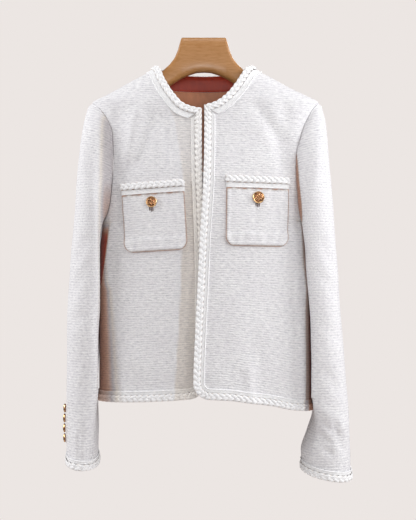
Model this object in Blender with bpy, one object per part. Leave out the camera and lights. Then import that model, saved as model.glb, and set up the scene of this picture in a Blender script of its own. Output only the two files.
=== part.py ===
"""Cropped tweed jacket with plaited trim, on a broad moulded wooden hanger.

The functions work in millimetres and the meshes are in metres. X runs to the wearer's left, the
wearer would face -Y, Z is up, and the origin is on the hanger's flat top. The body of the jacket
is a stack of rounded rings. Every panel is a stretch of those rings, and every trim, pocket and
button is made from the panel's own points, moved out.
"""

import math

import bpy
import numpy as np

MM = 0.001
CLOTH = 2.2  # thickness of the tweed wall
SATIN = 1.0  # thickness of the lining
SEAM = 0.3  # gap between neighbouring pieces
RING_POWER = 2.5  # squareness of the body's rings: 2 is an ellipse

HEM = -590.0
UNDERARM = -305.0
SHOULDER_TIP = -109.0
NECK_POINT = -50.0
NECK_HALF = 77.0
BACK_NECK_FALL = 5.0
CORNER_RADIUS = 27.0
LAP_START, LAP_CLEAR, LAP_LIFT = -140.0, 7.2, 13.0  # where it starts, over the other trim, at the hem

TRIM_WIDTH = 21.0
EDGE_TRIM_WIDTH = 17.4
BRAID_WIDTH = 12.0
BRAID_PITCH = 9.2
BRAID_HIGH, BRAID_LOW = 3.6, 2.1
BAND_HEIGHT = 1.4
TRIM_SEAT = 0.45

POCKET_WIDTH, POCKET_HEIGHT, POCKET_RADIUS = 100.0, 110.0, 15.0
POCKET_SEAT, POCKET_CLOTH = 0.6, 1.8
POCKET_TRIM_WIDTH = 19.0
POCKET_BUTTON_RADIUS, CUFF_BUTTON_RADIUS = 9.4, 7.2
CUFF_BUTTON_PITCH, CUFF_BUTTON_FIRST = 16.0, 41.0
POCKET_BUTTON_SEAT, CUFF_BUTTON_SEAT = 0.8, 0.35
CUFF_TRIM_WIDTH = 17.0


def table(text):
    """Rows of numbers under a line of column names, as one array for each column."""
    lines = [line.split() for line in text.strip().splitlines()]
    values = np.array(lines[1:], float).T
    return dict(zip(lines[0], values))


# Half widths and depths of the body's rings. Above the shoulder tip the width is the shoulder seam.
BODY = table("""
height  right   left  front  back
-650    171.0  172.8   69.0  60.0
-590    171.0  172.8   69.0  60.0
-500    172.0  174.3   68.0  60.0
-400    171.5  173.0   68.0  61.0
-350    169.5  171.0   68.5  62.0
-305    167.0  168.5   68.0  62.0
-250    169.0  170.0   66.0  61.0
-200    172.0  173.5   62.0  59.0
-150    178.0  181.0   56.0  56.0
-109    184.5  188.0   49.0  53.0
-96     162.3  166.0   45.0  52.0
-86     143.5  145.0   43.0  51.0
-76     126.0  126.5   40.0  50.0
-66     107.3  108.3   37.0  49.0
-56      88.0   87.5   34.0  47.0
-50      77.0   75.0   31.0  44.0
-44      67.0   64.0   28.0  41.0
""")

# Armhole seam: its distance from the middle on the front and on the back of each side.
ARMHOLE = table("""
height  front_right  front_left  back_right  back_left
-305    167.0        168.5       167.0       168.5
-300    161.0        162.0       163.5       165.0
-290    156.0        157.0       160.0       161.0
-270    151.0        151.5       156.0       157.0
-240    148.5        149.0       154.0       155.0
-200    147.5        148.5       154.0       156.0
-160    149.0        157.0       158.0       163.0
-135    159.0        168.0       166.0       171.0
-120    171.0        177.0       175.0       180.0
-109    184.5        188.0       184.5       188.0
""")

# Neck edge of each front, from the shoulder to the front opening.
NECK_RIGHT = table("""
out    height
77.0   -50
71.8   -54
66.4   -68
56.4   -87
44.5   -104
33.5   -115
19.0   -121
3.9    -124
""")
NECK_LEFT = table("""
out    height
75.0   -50
67.5   -54
58.5   -67
48.6   -83
31.0   -103.5
15.2   -113.6
-0.5   -118
""")

# Free edge of each front, from the hem to the neck.
EDGE_RIGHT = table("""
height  x
-590     3.0
-400     2.7
-330     1.0
-200    -3.4
-124    -3.9
""")
EDGE_LEFT = table("""
height  x
-590   -18.0
-540   -16.7
-466   -13.8
-414   -11.2
-325    -7.1
-250    -2.2
-190    -0.6
-118    -0.5
""")

# How far the hem falls below its level line, on the front and the back.
HEM_FALL = table("""
x      front  back
-176   -5.0   -5.0
-125   -2.5   -4.5
-50     1.5   -4.0
0       5.0   -4.0
40      3.0   -5.0
65     -1.0   -6.0
110    -8.5   -9.0
140   -16.0  -14.0
176   -21.0  -21.0
""")

# Soft troughs (depth below zero) and ridges of the fronts and the back: line ends, width and depth.
FRONT_FOLDS = table("""
x0    z0    x1    z1    width  depth
-136  -135  -139  -235   13     -2.6
128   -125  134   -240   13     -3.0
-126  -592  -120  -500   16      3.2
-92   -592  -96   -520   15      2.4
66    -592   70   -520   17      3.0
""")
BACK_FOLDS = table("""
x0    z0    x1    z1    width  depth
-128  -130  -124  -260   15     -2.6
126   -130  121   -270   15     -2.8
-70   -590  -60   -470   22      3.0
10    -420   14   -520   34     -2.0
86    -596   78   -480   22      3.0
""")

# Rings of each sleeve: outermost and innermost point, middle in Y, half depth, squareness (2 is an
# ellipse), how far the front of the ring drops and its back rises, and how far its front leans in.
SLEEVE_RIGHT = table("""
outer_x  outer_z  inner_x  inner_z  middle_y  depth  power  drop  lean
184.5    -109     167.0    -305     0         56     2.3    0     0
190.5    -117     172.0    -314     0         58     2.3    0     5
197.0    -137     173.0    -331     1         62     2.3    0     9
202.3    -172     173.3    -351     2         65     2.3    0     10.5
206.8    -225     173.3    -377     3         66.5   2.3    0     11.5
213.3    -300     172.8    -408     4         66     2.3    0     12.5
219.6    -370     172.8    -445     4         65     2.3    0     13.5
223.0    -430     173.5    -482     2         64     2.3    0     14.5
224.2    -485     174.5    -520     0         62     2.3    0     15
224.8    -540     175.5    -560     -2        59     2.25   1     15
225.3    -588     176.0    -600     -4        56.5   2.2    2     12
225.8    -635     173.8    -642     -6        54.5   2.1    3     7
225.0    -672     173.8    -677     -8        53     2.05   4     3
223.8    -694     175.2    -699     -9        52.5   2.0    4     0
""")
SLEEVE_LEFT = table("""
outer_x  outer_z  inner_x  inner_z  middle_y  depth  power  drop  lean
188.0    -109     168.5    -305     0         56     2.3    0     0
192.8    -117     173.5    -314     0         58     2.3    0     10
198.2    -137     174.5    -331     1         62     2.3    0     19
201.5    -172     174.8    -351     2         65     2.3    0     21
205.0    -225     174.8    -377     2         66.5   2.3    0     19
211.0    -300     175.3    -408     1         66     2.3    0     18
217.0    -370     176.0    -445     0         65     2.3    0     16
221.0    -430     176.5    -482     -3        63     2.3    0     14
225.0    -490     177.0    -524     -6        60     2.3    0     12.5
230.0    -553     177.8    -575     -9        56     2.25   1     12
234.0    -606     177.6    -612     -12.5     51     2.2    2     9
236.5    -646     168.0    -645     -14.5     46     2.1    3     3
238.3    -685     157.3    -677     -16       43     2.05   4     0
237.8    -721     159.0    -706     -17       41.5   2.0    4     0
""")

# Hanger: top, underside and half thickness at a distance from the middle.
HANGER = table("""
out    top    under  half
0      0.0    -56.8  11.0
12     0.0    -57.5  11.0
26     0.0    -62.0  11.3
35.3   0.0    -66.5  11.6
37.0  -1.6    -67.3  11.7
39.0  -8.0    -68.4  11.8
42.6  -21.0   -70.5  12.0
48.0  -34.0   -74.0  12.3
56.0  -44.5   -79.0  12.8
68.0  -55.5   -86.0  13.6
84.0  -63.0   -94.5  15.0
104   -72.5   -104.0 17.5
125   -83.0   -114.5 20.0
146   -94.5   -125.0 21.5
160   -102.0  -130.0 20.5
168   -107.0  -129.0 15.0
""")
HANGER_MIDDLE = -1.2  # the hanger stands this far to one side of the jacket's middle
HANGER_CREST_DROP = 3.1  # under the shoulder seam, so that the cloth lies on the crest
HANGER_SIDE_ROOM = 4.4
HANGER_SHOULDER = 78.0  # from here outwards the arm carries the cloth

LOWER_ROWS = (HEM, -584.0, -576.0, -563.0, -530.0, -490.0, -450.0, -410.0, -370.0, -335.0)
ARMHOLE_ROWS = (UNDERARM, -292.0, -270.0, -243.0, -215.0, -185.0, -160.0, -140.0, -124.0, -118.0)
SHOULDER_ROWS = (SHOULDER_TIP, -100.0, -90.0, -78.0, -66.0, -56.0, NECK_POINT)
ROWS = np.array(LOWER_ROWS + ARMHOLE_ROWS + SHOULDER_ROWS)
FRONT_COLUMNS = np.array((0.0, 0.07, 0.15, 0.25, 0.37, 0.5, 0.62, 0.74, 0.85, 0.94, 1.0))
SLEEVE_COLUMNS = 2 * len(ARMHOLE_ROWS)
FRONT_SEAM, BACK_SEAM = 8, 16  # columns of the two sleeve seams
COLUMN_BUNCH = 0.25  # how far the columns crowd towards the sleeve's front and back, in radians
SLEEVE_SEAM_SHARE = 0.012  # half the seam's gap, as a share of a column
SEAM_SWING = {-1: math.radians(62), 1: math.radians(36)}  # of the right and the left sleeve
CUFF_BUTTON_TURN = {-1: math.radians(18), 1: math.radians(-26)}
CLOTH_BEND, CRISP_BEND = math.radians(58), math.radians(38)  # edges that bend less are shaded smooth
BACK_COLUMNS = np.array((0.0, 0.05, 0.12, 0.21, 0.31, 0.41, 0.5, 0.59, 0.69, 0.79, 0.88, 0.95, 1.0))


# ---------------------------------------------------------------- curves and solids


def smooth(knots, values, at):
    """Cubic through the knots that never overshoots them, and runs on straight past its ends."""
    step = np.diff(knots)
    slope = np.diff(values) / step
    same_way = slope[:-1] * slope[1:] > 0
    total = np.where(same_way, slope[:-1] + slope[1:], 1.0)
    inner = np.where(same_way, 2 * slope[:-1] * slope[1:] / total, 0.0)
    tangent = np.concatenate([slope[:1], inner, slope[-1:]])
    inside = np.clip(at, knots[0], knots[-1])
    i = np.clip(np.searchsorted(knots, inside) - 1, 0, len(step) - 1)
    t = (inside - knots[i]) / step[i]
    start, end = values[i], values[i + 1]
    curve = (
        (1 + 2 * t) * (1 - t) ** 2 * start
        + t * (1 - t) ** 2 * step[i] * tangent[i]
        + t * t * (3 - 2 * t) * end
        + t * t * (t - 1) * step[i] * tangent[i + 1]
    )
    beyond = np.where(at < inside, tangent[0], tangent[-1])
    return curve + beyond * (at - inside)


def ease(t):
    """Soft step from 0 to 1."""
    t = np.clip(t, 0.0, 1.0)
    return t * t * (3 - 2 * t)


def unit(vectors):
    return vectors / np.linalg.norm(vectors, axis=-1, keepdims=True)


def resample(path, fractions):
    """Points at fractions of the length of a path of points."""
    length = np.concatenate([[0.0], np.cumsum(np.linalg.norm(np.diff(path, axis=0), axis=1))])
    at = fractions * length[-1]
    return np.stack([np.interp(at, length, path[:, axis]) for axis in range(3)], axis=1)


def length_of(path):
    return float(np.linalg.norm(np.diff(path, axis=0), axis=1).sum())


def turned(face):
    """The face turned round, still split along the same diagonal."""
    return face[:1] + face[:0:-1]


def make(name, points, faces, material, bend):
    """Closed mesh object from points in millimetres, turned to face outwards."""
    points = np.asarray(points, float).reshape(-1, 3)
    volume = 0.0
    for face in faces:
        first = points[face[0]]
        for second, third in zip(face[1:-1], face[2:]):
            volume += np.dot(first, np.cross(points[second], points[third]))
    if volume < 0:
        faces = [turned(face) for face in faces]
    mesh = bpy.data.meshes.new(name)
    mesh.from_pydata((points * MM).tolist(), [], faces)
    mesh.materials.append(material)
    mesh.shade_smooth()
    mesh.set_sharp_from_angle(angle=bend)
    piece = bpy.data.objects.new(name, mesh)
    bpy.context.scene.collection.objects.link(piece)
    return piece


def slab(name, outer, inner, material):
    """Wall between two grids of points."""
    rows, columns = outer.shape[:2]
    count = rows * columns
    grid = np.arange(count).reshape(rows, columns)
    faces = []
    for i in range(rows - 1):
        for j in range(columns - 1):
            quad = [int(k) for k in (grid[i, j], grid[i, j + 1], grid[i + 1, j + 1], grid[i + 1, j])]
            faces.append(quad)
            faces.append([k + count for k in turned(quad)])
    rim = np.concatenate([grid[0, :], grid[1:, -1], grid[-1, -2::-1], grid[-2:0:-1, 0]])
    for a, b in zip(rim.tolist(), np.roll(rim, -1).tolist()):
        quad = [b, a, a + count, b + count]  # neighbours share this diagonal along a seam
        faces.append(quad if b > a else quad[1:] + quad[:1])
    points = np.concatenate([outer.reshape(-1, 3), inner.reshape(-1, 3)])
    return make(name, points, faces, material, CLOTH_BEND)


def loft(name, rings, material):
    """Solid through closed rings of points, with flat ends."""
    stations, around = rings.shape[:2]
    grid = np.arange(stations * around).reshape(stations, around)
    faces = [[int(k) for k in grid[0]], [int(k) for k in grid[-1][::-1]]]
    for i in range(stations - 1):
        for j in range(around):
            k = (j + 1) % around
            faces.append([int(n) for n in (grid[i, k], grid[i, j], grid[i + 1, j], grid[i + 1, k])])
    return make(name, rings, faces, material, CRISP_BEND)


def finish(name, colour, roughness, metallic=0.0):
    material = bpy.data.materials.new(name)
    material.use_nodes = True
    shader = material.node_tree.nodes["Principled BSDF"]
    shader.inputs["Base Color"].default_value = (*colour, 1.0)
    shader.inputs["Roughness"].default_value = roughness
    shader.inputs["Metallic"].default_value = metallic
    return material


# ---------------------------------------------------------------- the body's surface


def half_width(x, z):
    right = smooth(BODY["height"], BODY["right"], z)
    left = smooth(BODY["height"], BODY["left"], z)
    return np.where(x < 0, right, left)


def depth(y, z):
    front = smooth(BODY["height"], BODY["front"], z)
    back = smooth(BODY["height"], BODY["back"], z)
    return np.where(y < 0, front, back)


def level(points):
    """Zero on the body's surface, above zero outside it."""
    x, y, z = points[..., 0], points[..., 1], points[..., 2]
    across = np.abs(x / half_width(x, z)) ** RING_POWER
    return across + np.abs(y / depth(y, z)) ** RING_POWER - 1


def gradient(points, step=0.05):
    slopes = []
    for axis in np.eye(3) * step:
        slopes.append((level(points + axis) - level(points - axis)) / (2 * step))
    return np.stack(slopes, axis=-1)


def settle(points):
    """The points moved onto the body's surface."""
    for _ in range(8):
        slope = gradient(points)
        points = points - level(points)[..., None] * slope / (slope**2).sum(-1, keepdims=True)
    return points


def front_y(x, z):
    share = np.clip(np.abs(x / half_width(x, z)), 0.0, 1.0) ** RING_POWER
    return -depth(-1.0, z) * (1 - share) ** (1 / RING_POWER)


def ring_row(z, x_from, x_to, side):
    """Fine row of one ring between two X values, on the front (side -1) or the back (side 1)."""
    turns = []
    for x in (x_from, x_to):
        share = min(abs(x) / float(half_width(x, z)), 1.0)
        turns.append(math.copysign(math.asin(share ** (RING_POWER / 2)), x))
    turn = np.linspace(turns[0], turns[1], 160)
    power = 2 / RING_POWER
    width = half_width(np.sin(turn), np.full_like(turn, z))
    x = width * np.sign(np.sin(turn)) * np.abs(np.sin(turn)) ** power
    y = side * float(depth(side, z)) * np.abs(np.cos(turn)) ** power
    return np.stack([x, y, np.full_like(x, z)], axis=1)


def fold_height(folds, x, z):
    """Sum of soft ridges and troughs, each a bell across its line that fades at its ends."""
    height = np.zeros_like(x)
    for x0, z0, x1, z1, width, deep in zip(*folds.values()):
        run = np.array([x1 - x0, z1 - z0])
        size = np.linalg.norm(run)
        along = ((x - x0) * run[0] + (z - z0) * run[1]) / size**2
        off = ((x - x0) * run[1] - (z - z0) * run[0]) / size
        fade = ease((along + 0.25) / 0.4) * ease((1.25 - along) / 0.5)
        height = height + deep * np.exp(-((off / width) ** 2)) * fade
    return height


def relief(points, lapping):
    """How far folds and the lap push the cloth out."""
    x, y, z = points[..., 0], points[..., 1], points[..., 2]
    front = fold_height(FRONT_FOLDS, x, z)
    back = fold_height(BACK_FOLDS, x, z)
    height = np.where(y < 0, front, back)
    if lapping:
        low = ease((LAP_START - z) / 95.0) * LAP_CLEAR
        low = low + ease((-330.0 - z) / 250.0) * (LAP_LIFT - LAP_CLEAR)
        height = height + np.where(y < 0, low * (1 - ease((x - 10.0) / 110.0)), 0.0)
    return height


def fall(points):
    """How far the hem and the back of the neck hang below their level rows."""
    x, y, z = points[..., 0], points[..., 1], points[..., 2]
    front = smooth(HEM_FALL["x"], HEM_FALL["front"], x)
    back = smooth(HEM_FALL["x"], HEM_FALL["back"], x)
    hem = np.where(y < 0, front, back) * ease((-330.0 - z) / 250.0)
    neck = np.clip(1 - (x / NECK_HALF) ** 2, 0.0, 1.0) ** 1.5 * ease((z + 120.0) / 70.0)
    return hem - np.where(y > 0, BACK_NECK_FALL * neck, 0.0)


def hang(points, out, lapping=False):
    """The points moved out from the surface by `out`, with folds, lap and falling hem."""
    moved = points + unit(gradient(points)) * (out + relief(points, lapping))[..., None]
    moved[..., 2] += fall(points)
    return moved


# ---------------------------------------------------------------- fronts, back and lining


def edge_curve(knots):
    """Fine neck edge as (distance from the middle, height)."""
    way = np.hypot(np.diff(knots["out"]), np.diff(knots["height"]))
    at = np.concatenate([[0.0], np.cumsum(way)])
    fine = np.linspace(0, at[-1], 200)
    return smooth(at, knots["out"], fine), smooth(at, knots["height"], fine)


def front_inner(z, side):
    """X of the front's free edge at a height: neck, opening or rounded lower corner."""
    neck, opening = (NECK_RIGHT, EDGE_RIGHT) if side < 0 else (NECK_LEFT, EDGE_LEFT)
    if z > neck["height"][-1]:
        out, height = edge_curve(neck)
        return side * float(np.interp(z, height[::-1], out[::-1]))
    edge = float(smooth(opening["height"], opening["x"], np.float64(z)))
    above = min(z - HEM, CORNER_RADIUS)
    return edge + side * (CORNER_RADIUS - math.sqrt(CORNER_RADIUS**2 - (CORNER_RADIUS - above) ** 2))


def outer_limit(z, side, face):
    """X of the panel's outer edge: side seam, armhole or shoulder seam. `face` is front or back."""
    if UNDERARM < z < SHOULDER_TIP:
        name = f"{face}_{'right' if side < 0 else 'left'}"
        return side * float(smooth(ARMHOLE["height"], ARMHOLE[name], np.float64(z)))
    return side * float(half_width(side, np.float64(z)))


def trimmed(row, start, end):
    """A row shortened at its ends by a seam's half gap."""
    length = length_of(row)
    return resample(row, np.linspace(start / length, 1 - end / length, 160))


def seam_gap(z):
    return 0.0 if UNDERARM < z < SHOULDER_TIP else SEAM / 2


def front_grid(side):
    rows = []
    for z in ROWS:
        inner = front_inner(z, side)
        outer = outer_limit(z, side, "front")
        if z == NECK_POINT:
            inner = outer * 0.985
        row = ring_row(z, inner, outer, -1)
        rows.append(resample(trimmed(row, 0.0, seam_gap(z)), FRONT_COLUMNS))
    return np.array(rows)


def back_grid():
    rows = []
    for z in ROWS:
        row = ring_row(z, outer_limit(z, -1, "back"), outer_limit(z, 1, "back"), 1)
        rows.append(resample(trimmed(row, seam_gap(z), seam_gap(z)), BACK_COLUMNS))
    return np.array(rows)


def make_panels(tweed, satin, facing):
    for name, side in (("front_right", -1), ("front_left", 1)):
        grid = front_grid(side)
        lapping = side > 0
        slab(name, hang(grid, 0.0, lapping), hang(grid, -CLOTH, lapping), tweed)
    grid = back_grid()
    slab("back", hang(grid, 0.0), hang(grid, -CLOTH), tweed)
    middle = slice(2, len(BACK_COLUMNS) - 2)
    top = CLOTH + SEAM
    for name, low, high, material in (
        ("back_facing", -78.0, NECK_POINT, facing),
        ("back_lining", -215.0, -78.0, satin),
    ):
        rows = (ROWS >= low) & (ROWS <= high)
        part = grid[rows][:, middle]
        if name == "back_lining":
            part[-1, :, 2] -= SEAM
        slab(name, hang(part, -top), hang(part, -top - SATIN), material)


# ---------------------------------------------------------------- sleeves


def armhole_loop(side):
    """Armhole seam from the shoulder tip down the front to the underarm and up the back."""
    heights = np.array((SHOULDER_TIP,) + ARMHOLE_ROWS[::-1])
    half = []
    for face, turn in (("front", -1), ("back", 1)):
        x = np.array([outer_limit(z, side, face) for z in heights])
        share = np.clip(np.abs(x) / half_width(x, heights), 0.0, 1.0) ** RING_POWER
        y = turn * depth(float(turn), heights) * (1 - share) ** (1 / RING_POWER)
        points = np.stack([x, y, heights], axis=1)
        half.append(hang(points, 0.0))
    return np.concatenate([half[0], half[1][-2::-1]])


def round_ring(outer_x, outer_z, inner_x, inner_z, middle_y, deep, power, drop, lean, turn):
    """Rounded ring between its outermost and innermost point, `turn` running over the front.

    The front leans inwards, towards the body, by lean * sin^2 * (1 - cos).
    """
    outward = np.sign(np.cos(turn)) * np.abs(np.cos(turn)) ** (2 / power)
    forward = np.sign(np.sin(turn)) * np.abs(np.sin(turn)) ** (2 / power)
    inwards = lean * np.clip(np.sin(turn), 0.0, 1.0) ** 2 * (1 - np.cos(turn))
    x = (outer_x + inner_x) / 2 + (outer_x - inner_x) / 2 * outward - inwards
    z = (outer_z + inner_z) / 2 + (outer_z - inner_z) / 2 * outward - drop * forward
    y = middle_y - deep * forward
    return np.stack([x, y, z], axis=-1)


def bunched(turn):
    """Even turns moved closer together where the flattened sleeve bends most."""
    return turn + COLUMN_BUNCH * np.sin(2 * turn)


def sleeve_surface(side, turn, along):
    """Points of a sleeve at turns round it and distances along its rings, both arrays."""
    rings = SLEEVE_RIGHT if side < 0 else SLEEVE_LEFT
    count = len(rings["outer_x"])
    knots = np.arange(count, dtype=float)
    values = [smooth(knots, column, along) for column in rings.values()]
    points = round_ring(*values, turn)
    points[..., 0] *= side
    loop = armhole_loop(side)
    loop[:, 0] += side * 0.45
    loop[:, 2] += 0.4 * ease((-285.0 - loop[:, 2]) / 20.0)
    turns = bunched(np.linspace(0, 2 * np.pi, len(loop)))
    first = round_ring(*[column[0] for column in rings.values()], turns)
    first[:, 0] *= side
    wrapped = np.mod(turn, 2 * np.pi)
    wrapped = np.where((wrapped == 0) & (turn > 1), 2 * np.pi, wrapped)
    change = np.stack([np.interp(wrapped, turns, (loop - first)[:, k]) for k in range(3)], axis=-1)
    return points + change * (1 - ease(along / 3.2))[..., None]


def sleeve_normal(side, turn, along):
    step = 0.02
    across = sleeve_surface(side, turn + step, along) - sleeve_surface(side, turn - step, along)
    last = len(SLEEVE_RIGHT["outer_x"]) - 1.0
    low, high = np.maximum(along - step, 0.0), np.minimum(along + step, last)
    down = sleeve_surface(side, turn, high) - sleeve_surface(side, turn, low)
    return unit(np.cross(across, down)) * side


def sleeve_points(side, turn, along, out):
    return sleeve_surface(side, turn, along) + sleeve_normal(side, turn, along) * np.asarray(out)[..., None]


def seam_turn(side, column, along, last):
    """Turn of a column: the back seam swings from the back of the arm towards its outside."""
    share = np.interp(
        column,
        [FRONT_SEAM, BACK_SEAM, SLEEVE_COLUMNS, SLEEVE_COLUMNS + FRONT_SEAM],
        [0.0, 1.0, 0.35, 0.0],
    )
    swing = SEAM_SWING[side] * share * ease(along / last)
    return bunched(2 * np.pi * column / SLEEVE_COLUMNS + swing)


def make_sleeves(tweed):
    last = len(SLEEVE_RIGHT["outer_x"]) - 1.0
    for side, tag in ((-1, "right"), (1, "left")):
        along = np.arange(last + 1)[:, None]
        for name, first, end in (
            (f"sleeve_top_{tag}", BACK_SEAM, SLEEVE_COLUMNS + FRONT_SEAM),
            (f"sleeve_under_{tag}", FRONT_SEAM, BACK_SEAM),
        ):
            column = np.arange(first, end + 1, dtype=float)
            column[0] += SLEEVE_SEAM_SHARE
            column[-1] -= SLEEVE_SEAM_SHARE
            turn = seam_turn(side, column, along, last)
            grid_along = np.broadcast_to(along, turn.shape)
            outer = sleeve_points(side, turn, grid_along, np.zeros(turn.shape))
            inner = sleeve_points(side, turn, grid_along, np.full(turn.shape, -CLOTH))
            slab(name, outer, inner, tweed)


# ---------------------------------------------------------------- plaited trim


def trim_rings(stations, width, place, ends=(0.0, 0.0), under_points=0):
    """Cross sections of a trim: band, then a two-strand plait along the free edge.

    `stations` are distances along the edge, `place(along, across, out)` puts a point on the cloth,
    and `ends` are how much of the trim's width each end is cut back, as at a mitre.
    """
    total = stations[-1]
    profile = (
        (width, 0.0, 0.0, 0.0),
        (BRAID_WIDTH, BAND_HEIGHT, BAND_HEIGHT, 0.0),
        (BRAID_WIDTH * 0.75, BRAID_HIGH, BRAID_LOW, 0.5),
        (BRAID_WIDTH * 0.5, BRAID_LOW, BAND_HEIGHT, 1.0),
        (BRAID_WIDTH * 0.25, BRAID_HIGH, BRAID_LOW, 0.5),
        (0.0, 0.0, 0.0, 0.0),
    )
    under = [(width * share, 0.0, 0.0, 0.0) for share in np.linspace(0, 1, under_points + 2)[1:-1]]
    even = np.arange(len(stations)) % 2 == 0
    inside = ease(stations / 20.0) * ease((total - stations) / 20.0)
    points = []
    for across, high, low, slant in profile + tuple(under):
        along = stations + slant * BRAID_PITCH * 0.5 * inside
        along = along + ends[0] * across * (1 - ease(stations / 45.0))
        along = along - ends[1] * across * ease((stations - total + 45.0) / 45.0)
        height = np.where(even, high, low) + TRIM_SEAT
        points.append(place(along, np.full_like(along, across), height))
    return np.stack(points, axis=1)


def even_stations(length):
    """Two stations for each turn of the plait."""
    return np.linspace(0.0, length, 2 * round(length / BRAID_PITCH) + 1)


def edge_placer(path, inward, lapping=False):
    """place() for a trim along an edge of the body: `path` is fine points on the plain surface."""
    total = length_of(path)
    normal = unit(gradient(path))
    tangent = unit(np.gradient(path, axis=0))
    across_way = unit(np.cross(normal, tangent)) * inward
    reach = np.concatenate([[0.0], np.cumsum(np.linalg.norm(np.diff(path, axis=0), axis=1))])

    def place(along, across, out):
        at = np.clip(along, 0.0, total)
        point = np.stack([np.interp(at, reach, path[:, k]) for k in range(3)], axis=1)
        way = np.stack([np.interp(at, reach, across_way[:, k]) for k in range(3)], axis=1)
        point = settle(point + unit(way) * across[:, None])
        return hang(point, out, lapping)

    return place


def neck_path():
    right_out, right_height = edge_curve(NECK_RIGHT)
    left_out, left_height = edge_curve(NECK_LEFT)
    right_x, left_x = -right_out[::-1], left_out
    right_z, left_z = right_height[::-1], left_height
    right = np.stack([right_x, front_y(right_x, right_z), right_z], axis=1)
    left = np.stack([left_x, front_y(left_x, left_z), left_z], axis=1)
    back = ring_row(NECK_POINT, -NECK_HALF, float(NECK_LEFT["out"][0]), 1)
    path = np.concatenate([right[:-1], back, left[1:]])
    return resample(path, np.linspace(0, 1, 500))


def front_edge_path(side):
    """From the neck corner down the opening, round the lower corner and along the hem."""
    neck, opening = (NECK_RIGHT, EDGE_RIGHT) if side < 0 else (NECK_LEFT, EDGE_LEFT)
    z = np.linspace(neck["height"][-1], HEM + CORNER_RADIUS, 200)
    x = smooth(opening["height"], opening["x"], z)
    turn = np.linspace(0, np.pi / 2, 30)[1:]
    corner_x = x[-1] + side * CORNER_RADIUS * (1 - np.cos(turn))
    corner_z = HEM + CORNER_RADIUS * (1 - np.sin(turn))
    x, z = np.concatenate([x, corner_x]), np.concatenate([z, corner_z])
    front = np.stack([x, front_y(x, z), z], axis=1)
    limit = side * float(half_width(side, np.float64(HEM)))
    hem = ring_row(HEM, x[-1], limit, -1)
    return resample(np.concatenate([front, hem[1:]]), np.linspace(0, 1, 600))


def mitre(first, second):
    """Tangent of half the turn between two edge directions."""
    turn = math.acos(float(np.clip(np.dot(unit(first), unit(second)), -1, 1)))
    return math.tan(turn / 2)


def make_edge_trims(plait):
    neck = neck_path()
    mitres = {}
    edges = {}
    for side in (-1, 1):
        edges[side] = front_edge_path(side)
        into = neck[0] - neck[8] if side < 0 else neck[-1] - neck[-9]
        mitres[side] = mitre(into, edges[side][8] - edges[side][0])
    length = length_of(neck)
    place = edge_placer(neck, 1)
    rings = trim_rings(
        even_stations(length - 0.5), TRIM_WIDTH, lambda a, w, o: place(a + 0.25, w, o),
        (mitres[-1], mitres[1]), under_points=2,
    )
    loft("trim_neck", rings, plait)
    for side, name in ((-1, "trim_edge_right"), (1, "trim_edge_left")):
        place = edge_placer(edges[side], side, lapping=side > 0)
        stations = even_stations(length_of(edges[side]) - SEAM / 2 - 0.25)
        ratio = EDGE_TRIM_WIDTH / TRIM_WIDTH
        rings = trim_rings(
            stations, EDGE_TRIM_WIDTH, lambda a, w, o, p=place: p(a + 0.25, w, o),
            (mitres[side] / ratio, 0.0),
        )
        loft(name, rings, plait)
    hem = ring_row(HEM, -float(half_width(-1, np.float64(HEM))), float(half_width(1, np.float64(HEM))), 1)
    place = edge_placer(resample(hem, np.linspace(0, 1, 400)), -1)
    stations = even_stations(length_of(hem) - SEAM)
    rings = trim_rings(stations, EDGE_TRIM_WIDTH, lambda a, w, o: place(a + SEAM / 2, w, o))
    loft("trim_hem_back", rings, plait)


def make_cuff_trims(plait):
    last = len(SLEEVE_RIGHT["outer_x"]) - 1.0
    for side, tag in ((-1, "right"), (1, "left")):
        start = math.radians(-10)
        fine = np.linspace(start, start + 2 * np.pi, 400)
        edge = sleeve_surface(side, fine, np.full_like(fine, last))
        reach = np.concatenate([[0.0], np.cumsum(np.linalg.norm(np.diff(edge, axis=0), axis=1))])
        step = np.linalg.norm(edge - sleeve_surface(side, fine, np.full_like(fine, last - 1)), axis=1)

        def place(along, across, out, side=side, fine=fine, reach=reach, step=step):
            turn = np.interp(along, reach, fine)
            ring = last - across / np.interp(along, reach, step)
            return sleeve_points(side, turn, ring, out)

        rings = trim_rings(even_stations(reach[-1] - SEAM), CUFF_TRIM_WIDTH, place)
        loft(f"trim_cuff_{tag}", rings, plait)


# ---------------------------------------------------------------- pockets and buttons


POCKETS = {
    "right": {"side": -1, "x": -82.6, "top": -242.4, "tilt": 3.4, "button": (-83.0, -274.0)},
    "left": {"side": 1, "x": 84.8, "top": -234.3, "tilt": -0.8, "button": (84.6, -267.2)},
}


def on_front(x, z, out, lapping):
    return hang(np.stack([x, front_y(x, z), z], axis=-1), out, lapping)


def pocket_place(pocket, u, v):
    """X and Z of a point u across and v below the middle of the pocket's top edge."""
    tilt = math.radians(pocket["tilt"])
    x = pocket["x"] + u * math.cos(tilt) + v * math.sin(tilt)
    z = pocket["top"] + u * math.sin(tilt) - v * math.cos(tilt)
    return x, z


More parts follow.
